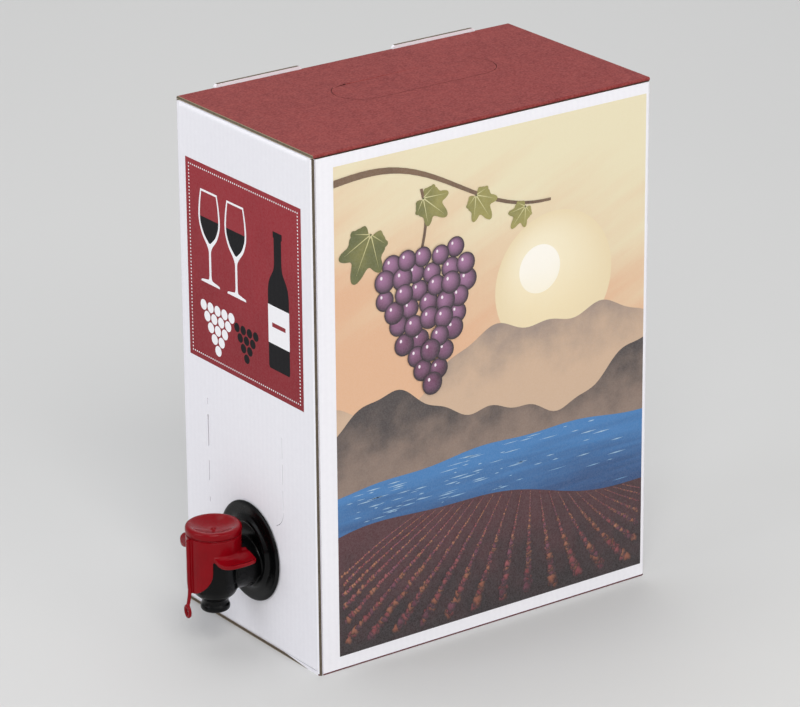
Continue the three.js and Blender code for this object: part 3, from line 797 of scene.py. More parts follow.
    def _vine(self, art: Print) -> None:
        """Adds the hanging vine with its grapes and leaves.

        Args:
            art: the print.
        """
        rng = random.Random(self.seed)
        stem = art.ink(Ink("offset_ink_stem", "#4f3b2c", "#7c6047", (0, 0.15), (0.0, 0.24), 14, 0.3))
        leaf = art.ink(Ink("offset_ink_leaf", "#5f6335", "#a39a55", (-0.08, 0.17), (0.02, 0.24), 16, 0.35))
        vein = art.ink(Ink("offset_ink_vein", "#c2ba7c", "#d9d3a0", (0, 0.15), (0.0, 0.24)))
        grape = art.ink(Ink("offset_ink_grape", "#6b3154", "#a5729a", (-0.06, 0.11), (-0.03, 0.19), 9, 0.3,
                            rim="#180a14"))
        shine = art.ink(Ink("offset_ink_shine", "#d8c4d4", "#efe3ea"))
        shares = [k / self.vine_steps for k in range(self.vine_steps + 1)]
        cane = [(self.left + q * 118, 230 - 26 * q + 7 * math.sin(q * 5.5)) for q in shares]
        for q, (u0, z0), (u1, z1) in zip(shares, cane, cane[1:]):
            w = 1.7 - 1.1 * q
            if z0 + w < self.top:
                art.field([(u0, z0 - w), (u1, z1 - w), (u1, z1 + w), (u0, z0 + w)], stem, 32)
        for place in self.leaves:
            self._leaf(art, *place, leaf, vein)
        stalk = [(-35.5 + 2.4 * math.sin(0.4 * k), 218.5 - 3.6 * k) for k in range(9)]
        for (u0, z0), (u1, z1) in zip(stalk, stalk[1:]):
            art.field([(u0 - 0.75, z0), (u1 - 0.7, z1), (u1 + 0.7, z1), (u0 + 0.75, z0)], stem, 33)
        spots = []
        for row, count in enumerate(self.bunch):
            for i in range(count):
                u = -34 + (i - (count - 1) / 2) * 8.6 + rng.uniform(-1.3, 1.3) + row * 0.5
                z = 187 - row * 7.6 + rng.uniform(-1.2, 1.2)
                spots.append((u, z, rng.uniform(4.7, 5.5)))
        rng.shuffle(spots)
        for n, (u, z, r) in enumerate(spots):
            level = 37 + 2 * n
            art.ball(u, z, r, grape, level)
            art.disc(u - 1.8, z + 2.0, r * 0.12, r * 0.16, shine, level + 1, 10)

    def _leaf(self, art: Print, u: float, z: float, size: float, turn: float, leaf: int, vein: int) -> None:
        """Adds one five-lobed leaf.

        Args:
            art: the print.
            u: where its stalk joins it, in mm.
            z: the same point's height.
            size: its length in mm.
            turn: the way it points, in radians.
            leaf: the leaf's ink.
            vein: the veins' ink.
        """
        rim = []
        count = self.leaf_points
        for i in range(count):
            a = -math.pi + 2 * math.pi * i / count
            r = max(length * (0.56 + 0.44 * math.exp(-((a - at) / 0.27) ** 2)) for at, length in self.lobes)
            r *= 1 - 0.72 * math.exp(-((abs(a) - math.pi) / 0.3) ** 2)
            r = size * 0.6 * (r + 0.035 * abs((i * self.leaf_teeth / count) % 2 - 1))
            at_u, at_z = placed(size * 0.42 + r * math.cos(a), r * math.sin(a), turn, u, z)
            rim.append((min(max(at_u, self.left), self.right), min(max(at_z, self.bottom), self.top)))
        cu, cz = placed(size * 0.42, 0.0, turn, u, z)
        base_u, base_z = placed(size * 0.22, 0.0, turn, u, z)
        for a, b in zip(rim, rim[1:] + rim[:1]):
            if abs((a[0] - cu) * (b[1] - cz) - (a[1] - cz) * (b[0] - cu)) > 1e-4:
                art.field([(cu, cz), a, b], leaf, 34)
        for at, length in self.lobes:
            a = turn + at
            tip = placed(size * 0.52 * length, 0.0, a, cu, cz)
            nx, nz = -math.sin(a) * 0.3, math.cos(a) * 0.3
            if tip[1] < self.top - 1 and tip[0] > self.left + 1:
                art.field([(base_u - nx, base_z - nz), tip, (base_u + nx, base_z + nz)], vein, 35)


@dataclass
class LabelShape:
    """The red square on the end panel: a dotted border round plain shapes in white and black."""

    low_y: float = -44.5
    high_y: float = 46.3
    low_z: float = 124.5
    high_z: float = 218.7
    inset: float = 2.6
    dot: float = 0.68
    pitch: float = 1.62
    # Half widths and heights of upright shapes, in mm
    glass: tuple[Point2, ...] = ((7.5, 0), (7.2, 1.0), (1.2, 2.0), (0.8, 4), (0.8, 16), (2.4, 18.5),
                                 (6.2, 22.5), (8.4, 28), (8.7, 32), (8.0, 38), (6.6, 44))
    hollow: tuple[Point2, ...] = ((0.6, 19.5), (4.9, 23.2), (7.2, 28.2), (7.5, 32), (7.0, 37.4), (5.9, 43.0))
    wine: tuple[Point2, ...] = ((0.6, 19.5), (4.9, 23.2), (7.2, 28.2), (7.45, 31.0))
    bottle: tuple[Point2, ...] = ((7.6, 0), (8.2, 1.2), (8.2, 36), (7.4, 41), (3.4, 47), (2.9, 50), (2.9, 62),
                                  (3.5, 62.1), (3.5, 65))
    soft: float = 2.4

    def build(self, surface: float) -> bpy.types.Object:
        """Prints the label.

        Args:
            surface: the panel's outer face, in metres along X.

        Returns:
            The print.
        """
        art = Print("label_print", Panel.END, surface, "carton")
        red = art.ink(Ink("offset_ink_label_red", "#8a1b26", "#99252f", (0, 0.12), (0, 0.22), 25, 0.3,
                          grain=0.05, shine=0.1))
        white = art.ink(Ink("offset_ink_white", "#f6f5f9", "#fbfafd", grain=0.02))
        black = art.ink(Ink("offset_ink_black", "#101012", "#19181b", grain=0.01, shine=0.08))
        art.field([(self.low_y, self.low_z), (self.high_y, self.low_z), (self.high_y, self.high_z),
                   (self.low_y, self.high_z)], red, 1)
        y0, y1 = self.low_y + self.inset, self.high_y - self.inset
        z0, z1 = self.low_z + self.inset, self.high_z - self.inset
        h = self.dot / 2
        ny = round((y1 - y0) / self.pitch)
        nz = round((z1 - z0) / self.pitch)
        spots = [(y0 + (y1 - y0) * i / ny, z) for i in range(ny + 1) for z in (z0, z1)]
        spots += [(y, z0 + (z1 - z0) * i / nz) for i in range(1, nz) for y in (y0, y1)]
        for y, z in spots:
            art.field([(y - h, z - h), (y + h, z - h), (y + h, z + h), (y - h, z + h)], white, 2)
        self._motifs(art, red, white, black)
        return art.finish("carton_board")

    def _motifs(self, art: Print, red: int, white: int, black: int) -> None:
        """Adds two glasses, a bottle and two bunches of grapes.

        Args:
            art: the print.
            red: the label's ink.
            white: the white ink.
            black: the black ink.
        """
        mid_y = (self.low_y + self.high_y) / 2
        top = self.high_z

        def lathe(y: float, z: float, profile: Sequence[Point2], ink: int, level: int) -> None:
            """Adds an upright outline from half widths and heights."""
            for (r0, h0), (r1, h1) in zip(profile[:-1], profile[1:]):
                if h1 - h0 > 1e-6:
                    art.field([(y - r0, z + h0), (y + r0, z + h0), (y + r1, z + h1), (y - r1, z + h1)],
                              ink, level)

        glass = ((self.glass, white), (self.hollow, red), (self.wine, black))
        for y in (mid_y + 27, mid_y + 6):
            for level, (shape, ink) in enumerate(glass, 3):
                lathe(y, top - 56, rounded(shape, self.soft), ink, level)
        bands = ((rounded(self.bottle, self.soft), black), ([(8.2, 12), (8.2, 30)], white),
                 ([(5.2, 20), (5.2, 22)], red))
        for level, (shape, ink) in enumerate(bands, 3):
            lathe(mid_y - 27, self.low_z + 13, shape, ink, level)
        for rows, at_y, at_z, pitch, drop, r, ink in ((5, 22, 27, 5.6, 4.8, 2.5, white),
                                                      (4, -1, 24, 5.0, 4.3, 2.2, black)):
            for row in range(rows):
                for i in range(rows - row):
                    y = mid_y + at_y + (i - (rows - 1 - row) / 2) * pitch
                    art.disc(y, self.low_z + at_z - row * drop, r, r, ink, 3, 20)


def rounded(profile: Sequence[Point2], radius: float, steps: int = 4) -> list[Point2]:
    """Rounds the corners of an open profile.

    Args:
        profile: its corners.
        radius: the largest radius, less where a side is short.
        steps: how many pieces make one corner.

    Returns:
        The rounded profile.
    """
    out = [profile[0]]
    for a, b, c in zip(profile[:-2], profile[1:-1], profile[2:]):
        va, vc = Vector((a[0] - b[0], a[1] - b[1])), Vector((c[0] - b[0], c[1] - b[1]))
        reach = min(radius, va.length * 0.45, vc.length * 0.45)
        if reach < 1e-6:
            out.append(b)
            continue
        p, q, mid = Vector(b) + va.normalized() * reach, Vector(b) + vc.normalized() * reach, Vector(b)
        for i in range(steps + 1):
            t = i / steps
            spot = p * (1 - t) ** 2 + mid * 2 * t * (1 - t) + q * t * t
            out.append((spot.x, spot.y))
    out.append(profile[-1])
    return out


def grid_faces(mesh: bmesh.types.BMesh, rows: Sequence[Sequence[bmesh.types.BMVert]], closed_u: bool,
               closed_v: bool) -> None:
    """Skins a grid of vertices with quads.

    Args:
        mesh: the mesh.
        rows: its rows of vertices.
        closed_u: whether each row closes on itself.
        closed_v: whether the last row joins the first.
    """
    n, m = len(rows), len(rows[0])
    for i in range(n if closed_v else n - 1):
        for j in range(m if closed_u else m - 1):
            a, b = rows[i], rows[(i + 1) % n]
            quad = [a[j], a[(j + 1) % m], b[(j + 1) % m], b[j]]
            if len({v.index if v.index >= 0 else id(v) for v in quad}) == 4:
                mesh.faces.new(quad)


class Moulding:
    """A moulded piece made of closed shells that melt into one skin with soft inner corners."""

    def __init__(self, name: str, origin_mm: Point3) -> None:
        """Starts an empty moulding.

        Args:
            name: the piece's name.
            origin_mm: the point that its shells are measured from, in mm in the carton's frame.
        """
        self.name = name
        self.origin = Vector(origin_mm)
        self.mesh = bmesh.new()

    def _vert(self, x: float, y: float, z: float) -> bmesh.types.BMVert:
        """Adds a vertex given in mm from the moulding's origin."""
        return self.mesh.verts.new((Vector((x, y, z)) + self.origin) * MM)

    def turned(self, profile: Sequence[Point2], axis: Axis = Axis.UP, drop: float = 0.0,
               count: int = 128) -> None:
        """Adds a turned shell.

        Args:
            profile: radius and height in mm, closed on itself or ending on the axis.
            axis: where its heights run.
            drop: how far below the origin a lying axis runs.
            count: pieces round the axis.
        """
        rings = []
        for r, h in profile:
            ring = []
            for i in range(count):
                a = 2 * math.pi * i / count
                x, y, z = r * math.cos(a), r * math.sin(a), h
                if axis is Axis.OUT:
                    x, z = -z, x - drop
                ring.append(self._vert(x, y, z))
            rings.append(ring)
        on_axis = profile[0][0] < 1e-6
        grid_faces(self.mesh, rings, True, not on_axis)
        bmesh.ops.remove_doubles(self.mesh, verts=self.mesh.verts, dist=1e-7)

    def sheet(self, points: Sequence[Sequence[tuple[Point3, Point3]]], closed: bool = False) -> None:
        """Adds a shell with two skins.

        Args:
            points: rows of outer and inner points in mm.
            closed: whether the rows close on themselves.
        """
        outer = [[self._vert(*o) for o, _ in row] for row in points]
        inner = [[self._vert(*i) for _, i in row] for row in points]
        grid_faces(self.mesh, outer, closed, False)
        grid_faces(self.mesh, inner, closed, False)
        n = len(points[0])
        for j in range(n if closed else n - 1):
            k = (j + 1) % n
            self.mesh.faces.new([outer[0][j], inner[0][j], inner[0][k], outer[0][k]])
            self.mesh.faces.new([outer[-1][j], outer[-1][k], inner[-1][k], inner[-1][j]])
        if not closed:
            for i in range(len(points) - 1):
                for j in (0, -1):
                    self.mesh.faces.new([outer[i][j], outer[i + 1][j], inner[i + 1][j], inner[i][j]])

    def swept(self, path: Sequence[Point3], half_w: float, half_t: float, count: int = 16) -> None:
        """Adds a strap or ring with an oval section along a path in a plane of constant Y or closed.

        Args:
            path: the points in mm; it closes where the last point is the first.
            half_w: half the width along Y.
            half_t: half the thickness.
            count: corners of the section.
        """
        closed = (Vector(path[0]) - Vector(path[-1])).length < 1e-6
        spine = [Vector(p) for p in (path[:-1] if closed else path)]
        n = len(spine)
        rings = []
        for i, p in enumerate(spine):
            a = spine[(i - 1) % n] if closed or i else p
            b = spine[(i + 1) % n] if closed or i < n - 1 else p
            along = (b - a).normalized()
            side = Vector((1, 0, 0) if closed else (0, 1, 0))
            out = along.cross(side).normalized()
            ring = []
            for k in range(count):
                t = 2 * math.pi * k / count
                c, d = math.cos(t), math.sin(t)
                c = math.copysign(abs(c) ** 0.6, c)
                d = math.copysign(abs(d) ** 0.6, d)
                ring.append(self._vert(*(p + side * (half_w * c) + out * (half_t * d))))
            rings.append(ring)
        grid_faces(self.mesh, rings, True, closed)
        if not closed:
            self.mesh.faces.new(rings[0])
            self.mesh.faces.new(list(reversed(rings[-1])))

    def melt(self, voxel_mm: float, smooth: int) -> bpy.types.Object:
        """Joins the shells into one skin.

        Args:
            voxel_mm: how fine the skin is.
            smooth: how many times it is relaxed.

        Returns:
            The moulding's object.
        """
        bmesh.ops.recalc_face_normals(self.mesh, faces=self.mesh.faces)
        rough = piece(self.name + "_shells", self.mesh)
        remesh = rough.modifiers.new("melt", "REMESH")
        remesh.mode, remesh.voxel_size, remesh.adaptivity = "VOXEL", voxel_mm * MM, 0.0
        relax = rough.modifiers.new("relax", "SMOOTH")
        relax.factor, relax.iterations = 0.5, smooth
        graph = bpy.context.evaluated_depsgraph_get()
        made = bpy.data.meshes.new_from_object(rough.evaluated_get(graph))
        made.name = self.name
        made.polygons.foreach_set("use_smooth", [True] * len(made.polygons))
        bpy.data.objects.remove(rough)
        obj = bpy.data.objects.new(self.name, made)
        bpy.context.scene.collection.objects.link(obj)
        return obj


@dataclass
class TapShape:
    """The tap's two visible mouldings, in mm from the crossing of its axis and the barrel's."""

    end_x: float = -93.0
    centre_z: float = 43.0
    reach: float = 20.0
    flange_r: float = 23.7
    hub_r: float = 17.0
    neck_r: float = 11.4
    neck_drop: float = 4.5
    neck_bore_r: float = 7.4
    hub_wall: float = 1.4
    barrel_r: float = 11.2
    cap_r: float = 12.9
    skirt_r: float = 12.6
    inner_r: float = 11.7
    cap_top: float = 18.2
    rim: float = 3.6
    skirt_end: float = 4.2
    shield_half_deg: float = 54.0
    shield_end: float = -12.6
    shield_round: float = 11.0
    wing_half: float = 9.2
    wing_back: float = 2.1
    wing_span: float = 23.0
    wing_root: float = 6.2
    wing_low: float = 4.9
    wing_tip: float = 6.4
    wing_thick: float = 2.0
    strip_end: float = -10.0
    tail_from: float = -9.5
    tail_drop: float = 9.1
    tail_lean: float = 1.25
    eye_z: float = -21.0
    eye_half_y: float = 1.65
    eye_half_z: float = 2.6
    handle_voxel: float = 0.26
    body_voxel: float = 0.36

    def handle(self) -> bpy.types.Object:
        """Makes the red handle.

        Returns:
            Its object.
        """
        made = Moulding("tap_handle_skin", (self.end_x - self.reach, 0.0, self.centre_z))
        top, r = self.cap_top, self.cap_r
        groove = top - self.rim
        made.turned(rounded([
            (0.0, top - 1.6), (0.75, top - 1.75), (1.2, top - 2.7), (3.4, top - 2.55), (5.6, top - 2.0),
            (7.6, top - 1.3), (9.2, top - 0.65), (10.4, top - 0.15), (r - 1.2, top), (r - 0.35, top - 0.45),
            (r, top - 1.3),
            (r, groove + 0.35), (r - 0.35, groove), (r - 1.0, groove - 0.1), (r - 1.0, groove - 0.85),
            (self.skirt_r - 0.2, groove - 1.0), (self.skirt_r - 0.6, groove - 1.6),
            (0.0, groove - 1.6)], 0.35))
        self._skirt(made, groove - 0.9)
        for side in (-1, 1):
            self._wing(made, side)
        self._strip(made, groove - 0.9)
        return made.melt(self.handle_voxel, 3)

    def _skirt(self, made: Moulding, top: float) -> None:
        """Adds the skirt with its arch over the neck and the shield in front.

        Args:
            made: the moulding.
            top: where the skirt begins.
        """
        half = self.skirt_r * math.sin(math.radians(self.shield_half_deg))
        keep = self.shield_end + self.shield_round
        arch_r = self.neck_r + 0.5
        rows: list[list[tuple[Point3, Point3]]] = []
        count, steps = 288, 40
        lows = []
        for j in range(count):
            a = 2 * math.pi * j / count
            y = self.skirt_r * math.sin(a)
            low = self.skirt_end
            if math.cos(a) < 0 and abs(y) < half:
                low = keep - self.shield_round * math.sqrt(max(0.0, 1 - (y / half) ** 2))
            elif math.cos(a) > 0 and abs(y) < arch_r:
                low = max(low, -self.neck_drop + math.sqrt(max(0.0, arch_r ** 2 - y * y)))
            lows.append(low)
        for i in range(steps + 1):
            row = []
            for j in range(count):
                a = 2 * math.pi * j / count
                z = top + (lows[j] - top) * i / steps
                c, s = math.cos(a), math.sin(a)
                row.append(((self.skirt_r * c, self.skirt_r * s, z), (self.inner_r * c, self.inner_r * s, z)))
            rows.append(row)
        made.sheet(rows, closed=True)

    def _wing(self, made: Moulding, side: int) -> None:
        """Adds one finger wing, a petal that dips and rises again.

        Args:
            made: the moulding.
            side: -1 or 1 along Y.
        """
        hug = self.inner_r + 0.3
        count, columns = 48, 26
        rows = []
        for i in range(count + 1):
            xi = -math.cos(math.pi * i / count) * 0.999
            x = self.wing_back + self.wing_half * xi
            near = max(math.sqrt(max(hug * hug - x * x, 0.0)), hug - 3.3)
            far = hug + 0.2 + (self.wing_span - hug - 0.2) * math.sqrt(1 - abs(xi) ** 3.2)
            row = []
            for j in range(columns + 1):
                y = near + (far - near) * j / columns
                q = min(max((y - hug) / (self.wing_span - hug), 0.0), 1.0)
                bend = 2 * self.wing_low - (self.wing_root + self.wing_tip) / 2
                z = (1 - q) ** 2 * self.wing_root + 2 * q * (1 - q) * bend + q * q * self.wing_tip
                z += (1.0 if xi > 0 else 0.5) * xi * xi * q
                fillet = 0.9 * math.exp(-((y - near) / 1.1) ** 2)
                z += fillet
                row.append(((x, side * y, z), (x, side * y, z - self.wing_thick + 0.3 * q - fillet)))
            rows.append(row)
        made.sheet(rows)

    def _strip(self, made: Moulding, top: float) -> None:
        """Adds the tear strip down the front of the shield, with its tail and eye.

        Args:
            made: the moulding.
            top: where the strip begins.
        """
        face = -self.skirt_r
        path = [(face - 0.85, 0.0, top), (face - 0.8, 0.0, 0.0), (face - 0.7, 0.0, self.strip_end)]
        made.swept(path, 0.8, 1.15)
        shares = [i / 16 for i in range(17)]
        made.swept([(face - 0.9 - self.tail_lean * t * t, 0.0, self.tail_from - self.tail_drop * t)
                    for t in shares], 0.85, 0.72)
        turns = [2 * math.pi * i / 32 for i in range(32)]
        eye = [(face - 2.2 - 0.15 * math.cos(a), self.eye_half_y * math.sin(a),
                self.eye_z + self.eye_half_z * math.cos(a)) for a in turns]
        made.swept(eye + eye[:1], 0.72, 0.8)

    def body(self) -> bpy.types.Object:
        """Makes the black body.

        Returns:
            Its object.
        """
        made = Moulding("tap_body_skin", (self.end_x, 0.0, self.centre_z))
        f, h = self.flange_r, self.hub_r
        made.turned(rounded([
            (0.0, -12.9), (13.1, -12.9), (13.1, 0.35), (f - 0.1, 0.35), (f, 0.9), (f - 0.5, 1.4),
            (f - 1.6, 1.75), (h + 1.6, 1.75), (h + 0.2, 2.2), (h - 0.6, 3.1), (h - 1.2, 3.4),
            (h - 1.2 - self.hub_wall, 3.4), (h - 1.5 - self.hub_wall, 1.8), (0.0, 1.8)], 0.6),
            axis=Axis.OUT, count=160)
        n, r = self.neck_bore_r, self.neck_r
        made.turned([(n, 1.0), (r + 0.6, 1.0), (r + 0.1, 2.6), (r, 4.4), (r - 0.6, 12.0),
                     (r - 0.9, self.reach - 5.4), (n, self.reach - 5.4), (n, 1.0)], axis=Axis.OUT,
                    drop=self.neck_drop, count=128)
        made.origin = Vector((self.end_x - self.reach, 0.0, self.centre_z))
        b = self.barrel_r
        made.turned(rounded([
            (5.2, -23.4), (5.9, -23.4), (6.55, -22.95), (6.8, -22.1), (6.75, -20.9), (6.2, -20.05),
            (6.05, -19.3), (6.2, -17.9), (7.6, -16.6), (9.4, -15.0), (10.6, -12.4), (b, -8.6), (b, 9.9),
            (8.7, 9.9), (8.7, -12.0), (5.2, -12.0), (5.2, -23.4)], 0.5))
        return made.melt(self.body_voxel, 4)


@dataclass
class FilmBag:
    """The bag of wine: film drawn tight over the liquid and slack and creased at the top."""

    low: Point3 = (-87.8, -49.9, 3.7)
    high: Point3 = (89.4, 49.9, 195.8)
    round_mm: float = 21.0
    cells: int = 84
    seed: int = 11
    fold_scale: float = 0.028
    warp: float = 1.3
    slack_from_mm: float = 120.0
    slack_over_mm: float = 60.0
    sink_from_mm: float = 168.0
    sink_over_mm: float = 28.0
    sink_mm: float = 17.0
    seam_half_mm: float = 80.0
    seam_mm: float = 9.0
    seam_thick_mm: float = 0.35

    def build(self) -> None:
        """Makes the bag and its seam."""
        lo, hi = Vector(self.low), Vector(self.high)
        centre, half = (lo + hi) / 2, (hi - lo) / 2
        mesh = bmesh.new()
        bmesh.ops.create_cube(mesh, size=2.0)
        bmesh.ops.subdivide_edges(mesh, edges=mesh.edges[:], cuts=self.cells, use_grid_fill=True)
        shift = Vector((self.seed * 3.1, self.seed * 1.7, 0.0))
        for vert in mesh.verts:
            p = Vector((vert.co.x * half.x, vert.co.y * half.y, vert.co.z * half.z))
            r = self.round_mm
            core = Vector([max(-half[i] + r, min(half[i] - r, p[i])) for i in range(3)])
            off = p - core
            if off.length > 1e-6:
                p = core + off.normalized() * r
            spot = p * self.fold_scale + shift
            warp = Vector((noise.noise(spot * 1.3), noise.noise(spot * 1.3 + Vector((9, 2, 4))), 0.0))
            warp *= self.warp
            # The film is slack above the liquid, so its folds are deeper there
            slack = max(0.0, min(1.0, (p.z + centre.z - self.slack_from_mm) / self.slack_over_mm))
            folds = 1 - abs(noise.noise((spot + warp) * 1.1)) * 3.2
            fine = 1 - abs(noise.noise((spot + warp) * 3.3)) * 3.0
            dent = (0.5 + 2.4 * slack) * max(0.0, 1 - max(folds, 0.0))
            dent += (0.3 + 0.9 * slack) * max(0.0, 1 - max(fine, 0.0))
            out = off.normalized() if off.length > 1e-6 else Vector((0, 0, 1))
            p -= out * dent
            if p.z > 0:
                lift = max(0.0, (p.z + centre.z - self.sink_from_mm) / self.sink_over_mm)
                ridge = abs(p.y - self._seam_line(p.x)) / 50.0
                p.z -= self.sink_mm * lift * min(1.0, ridge ** 0.8)
            vert.co = (p + centre) * MM
        obj = piece("wine_bag_film", mesh, [LaminatedFilm().make()], smooth=True)
        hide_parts("wine_bag")
        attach(obj, "carton")
        self._seam()

    def _seam_line(self, x: float) -> float:
        """Where the seam wanders to across the bag, in mm along Y."""
        return -7 * noise.noise(Vector((x * 0.02, 0.4, 0.1)))

    def _seam(self) -> None:
        """Makes the welded seam along the top of the bag, bent over to one side."""
        mesh = bmesh.new()
        rows = []
        for i in range(121):
            x = -self.seam_half_mm + 2 * self.seam_half_mm * i / 120
            row = []
            for j in range(7):
                t = j / 6
                y = self._seam_line(x) + self.seam_mm * t
                z = 193.2 + 1.2 * math.sin(t * 2.6) - 2.0 * t * t
                z += 0.6 * noise.noise(Vector((x * 0.06, t * 2, 5)))
                z -= 14.0 * max(0.0, (abs(x) - 62.0) / 22.0) ** 1.6
                row.append(mesh.verts.new(Vector((x, y, z)) * MM))
            rows.append(row)
        grid_faces(mesh, rows, False, False)
        film = LaminatedFilm("welded_laminate_seam", "#b4b8bc").make()
        obj = piece("wine_bag_seam", mesh, [film], smooth=True)
        obj.modifiers.new("film", "SOLIDIFY").thickness = self.seam_thick_mm * MM
        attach(obj, "carton")


@dataclass
class Tap:
    """Finishes of the tap and the gland."""

    red: MouldedPlastic = field(default_factory=lambda: MouldedPlastic(
        "injection_moulded_red_polypropylene", "#880411", "#72020c", 0.21, shine=0.17))
    black: MouldedPlastic = field(default_factory=lambda: MouldedPlastic(
        "injection_moulded_black_polypropylene", "#060707", "#030304", 0.26, shine=0.17))
    natural: MouldedPlastic = field(default_factory=lambda: MouldedPlastic(
        "injection_moulded_natural_polyethylene", "#e7e4da", "#d9d5c8", 0.45))
    membrane: MouldedPlastic = field(default_factory=lambda: MouldedPlastic(
        "moulded_thermoplastic_elastomer", "#b9b9b4", "#a9a9a4", 0.6))
    shape: TapShape = field(default_factory=TapShape)

    def dress(self, nodes: dict[str, bpy.types.Object]) -> None:
        """Gives the tap's nodes their finishes.

        Args:
            nodes: the CAD nodes by name.
        """
        natural = self.natural.make()
        for name, mat in (("tap_stem", natural), ("gland", natural), ("tap_membrane", self.membrane.make())):
            dress(nodes[name], mat)
        for skin, node, body, slot, mat in (
                (self.shape.handle(), "tap_handle", "handle", "red_polypropylene", self.red.make()),
                (self.shape.body(), "tap_body", "carton", "black_polypropylene", self.black.make())):
            skin.data.materials.clear()
            skin.data.materials.append(mat)
            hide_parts(node)
            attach(skin, body)


@dataclass
class Carton:
    """The folded carton, its lid and the hand flap."""

    width: float = 186 * MM
    depth: float = 107 * MM
    height: float = 245 * MM
    tab_rise: float = 1.5 * MM
    hand_round_mm: float = 13.5
    hand_half_mm: float = 43.0
    hand_corner_deg: int = 36
    liner_mm: float = 0.2
    liner_sink: float = 0.015 * MM
    finish: CorrugatedBoard = field(default_factory=CorrugatedBoard)

    def dress(self, nodes: dict[str, bpy.types.Object]) -> None:
        """Gives the board's nodes their finishes.

        Args:
            nodes: the CAD nodes by name.
        """
        dress(nodes["carton"], self.finish.carton(self.width, self.depth, self.height + self.tab_rise))
        lid = self.finish.printed("flexo_printed_red_board", self.height)
        dress(nodes["lid"], lid)
        dress(nodes["hand_flap"], lid)
        self._crease(lid)

    def _crease(self, ink: bpy.types.Material) -> None:
        """Adds the folded liner that bridges the crease behind the hand flap and its round ends.

        Args:
            ink: the lid's material.
        """
        r = self.hand_round_mm
        half = self.hand_half_mm - r
        mid_x, mid_y = self.finish.hand_x_mm, self.finish.hand_y_mm
        turns = [math.pi / 2 + math.radians(a) for a in range(self.hand_corner_deg, -1, -4)]

        def at(side: int, radius: float, turn: float) -> Point2:
            """A point of one round end."""
            return mid_x + side * (half - radius * math.cos(turn)), mid_y + radius * math.sin(turn)

        outline: list[Point2] = []
        for side in (-1, 1):
            part = [(mid_x + side * half, mid_y + r - 1.2), at(side, r - 0.42, turns[0])]
            part += [at(side, r + 0.05, turn) for turn in turns]
            outline += part if side < 0 else part[::-1]
        mesh = bmesh.new()
        top = self.height - self.liner_sink
        face = mesh.faces.new([mesh.verts.new((x * MM, y * MM, top)) for x, y in outline])
        face_towards(face, Vector((0, 0, 1)))
        bmesh.ops.triangulate(mesh, faces=mesh.faces[:])
        obj = piece("hand_flap_crease", mesh, [ink])
        thick = obj.modifiers.new("liner", "SOLIDIFY")
        thick.thickness, thick.offset = self.liner_mm * MM, -1.0
        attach(obj, "lid")


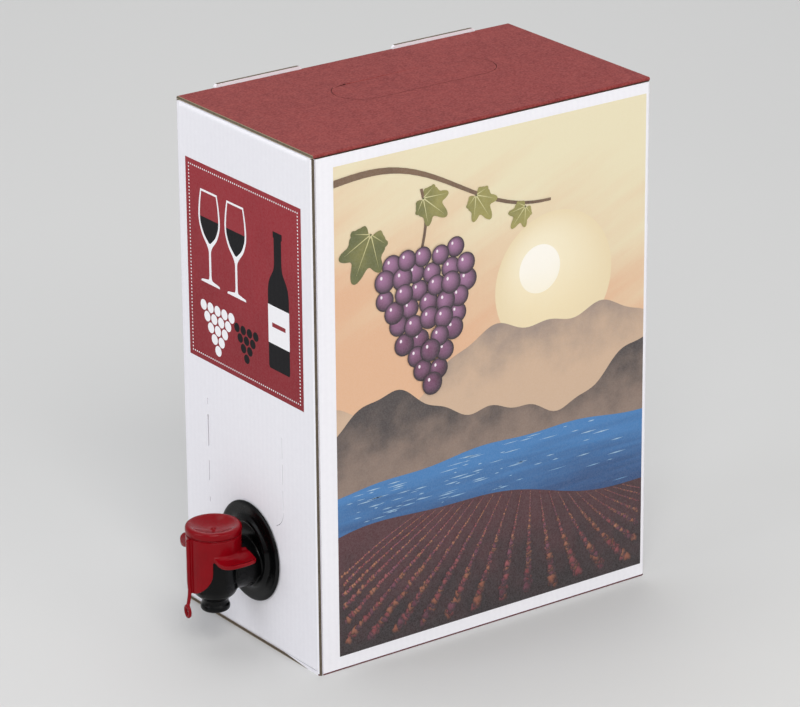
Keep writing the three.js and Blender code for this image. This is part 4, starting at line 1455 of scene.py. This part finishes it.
@dataclass
class Studio:
    """Pale sweep, soft lights and the photograph's camera."""

    azimuth: float = -35.63
    elevation: float = 21.15
    roll: float = -0.48
    distance: float = 1.9573
    focal_px: float = 4274.0
    image_width: int = 800
    shift_right: float = -7.37 * MM
    shift_up: float = -5.43 * MM
    target_height: float = 0.1225
    sensor_mm: float = 36.0
    floor_half: float = 12.0
    air: str = "#d9dadc"
    air_strength: float = 0.62
    # name, place, aim, side in metres, watts, colour
    lamps: tuple[tuple[str, Point3, Point3, float, float, str], ...] = (
        ("key_softbox", (-0.9, -1.6, 1.8), (0, 0, 0.12), 1.2, 27.0, "#fffdfb"),
        ("top_softbox", (0.1, 0.4, 2.2), (0, 0, 0.2), 1.6, 12.0, "#ffffff"),
        ("side_softbox", (-1.9, 0.3, 1.0), (0, 0, 0.1), 1.2, 9.0, "#f6f9ff"),
        ("front_softbox", (0.5, -2.1, 0.9), (0, 0, 0.12), 1.3, 8.5, "#fffefc"),
        ("backdrop_softbox", (0.62, 0.95, 1.1), (0.62, 0.95, 0.0), 0.7, 2.2, "#ffffff"))

    def camera(self) -> None:
        """Makes the camera, which looks as the photograph's did."""
        a, e, r = (math.radians(v) for v in (self.azimuth, self.elevation, self.roll))
        back = Vector((math.sin(a) * math.cos(e), -math.cos(a) * math.cos(e), math.sin(e)))
        right = Vector((math.cos(a), math.sin(a), 0.0))
        up = back.cross(right)
        right, up = math.cos(r) * right + math.sin(r) * up, -math.sin(r) * right + math.cos(r) * up
        place = (Vector((0, 0, self.target_height)) + right * self.shift_right + up * self.shift_up
                 + back * self.distance)
        data = bpy.data.cameras.new("camera")
        data.sensor_width = self.sensor_mm
        data.lens = self.focal_px / self.image_width * self.sensor_mm
        data.clip_start, data.clip_end = 0.05, 60.0
        cam = bpy.data.objects.new("camera", data)
        cam.matrix_world = Matrix([(right[i], up[i], back[i], place[i]) for i in range(3)] + [(0, 0, 0, 1)])
        bpy.context.scene.collection.objects.link(cam)
        bpy.context.scene.camera = cam

    def lamp(self, name: str, at: Point3, aim: Point3, size: float, watts: float, colour: str) -> None:
        """Adds a soft area light.

        Args:
            name: the light's name.
            at: where it hangs.
            aim: the point it looks at.
            size: its side in metres.
            watts: its power.
            colour: its colour.
        """
        data = bpy.data.lights.new(name, "AREA")
        data.shape, data.size, data.energy = "SQUARE", size, watts
        data.color = linear(colour)[:3]
        lamp = bpy.data.objects.new(name, data)
        lamp.location = at
        lamp.rotation_euler = (Vector(aim) - Vector(at)).to_track_quat("-Z", "Y").to_euler()
        bpy.context.scene.collection.objects.link(lamp)

    def floor(self) -> None:
        """Makes the pale floor."""
        g = Graph("pale_paper_sweep")
        # Far off the paper glows a little, so it runs into the air without a line
        away = g.node("ShaderNodeVectorMath", {0: g.point}, operation="LENGTH").outputs["Value"]
        glow = g.span(away, 1.6, 5.0, 0.0, 0.165, interpolation_type="SMOOTHSTEP")
        paper = g.finish({"Base Color": g.mix(g.noise(1.2, 2.0), "#cfcfce", "#d5d5d4"), "Roughness": 0.9,
                          "Specular IOR Level": 0.2, "Emission Color": "#fbfcff", "Emission Strength": glow})
        mesh = bmesh.new()
        bmesh.ops.create_grid(mesh, x_segments=2, y_segments=2, size=self.floor_half)
        piece("studio_floor", mesh, [paper])

    def build(self) -> None:
        """Makes the camera, the floor, the world and the lights."""
        self.camera()
        self.floor()
        scene = bpy.context.scene
        scene.world = bpy.data.worlds.new("studio_air")
        scene.world.use_nodes = True
        background = scene.world.node_tree.nodes["Background"]
        background.inputs[0].default_value = linear(self.air)
        background.inputs[1].default_value = self.air_strength
        for row in self.lamps:
            self.lamp(*row)
        scene.view_settings.view_transform = "Standard"


def dress(obj: bpy.types.Object, material: bpy.types.Material) -> None:
    """Puts one material in every slot of an object.

    Args:
        obj: the object.
        material: the material.
    """
    if not obj.material_slots:
        obj.data.materials.append(material)
    for place in obj.material_slots:
        place.material = material


def main() -> None:
    """Builds the scene piece by piece."""
    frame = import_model()
    nodes = frame["nodes"]
    Studio().build()
    LOG.info("studio built")
    carton = Carton()
    carton.dress(nodes)
    LOG.info("carton, lid and hand flap dressed")
    PictureShape().build(-carton.depth / 2)
    LOG.info("picture printed")
    LabelShape().build(-carton.width / 2)
    LOG.info("label printed")
    Tap().dress(nodes)
    LOG.info("tap and gland dressed")
    FilmBag().build()
    LOG.info("bag of wine made")


if __name__ == "__main__":
    logging.basicConfig(level=logging.INFO, format="%(message)s")
    main()
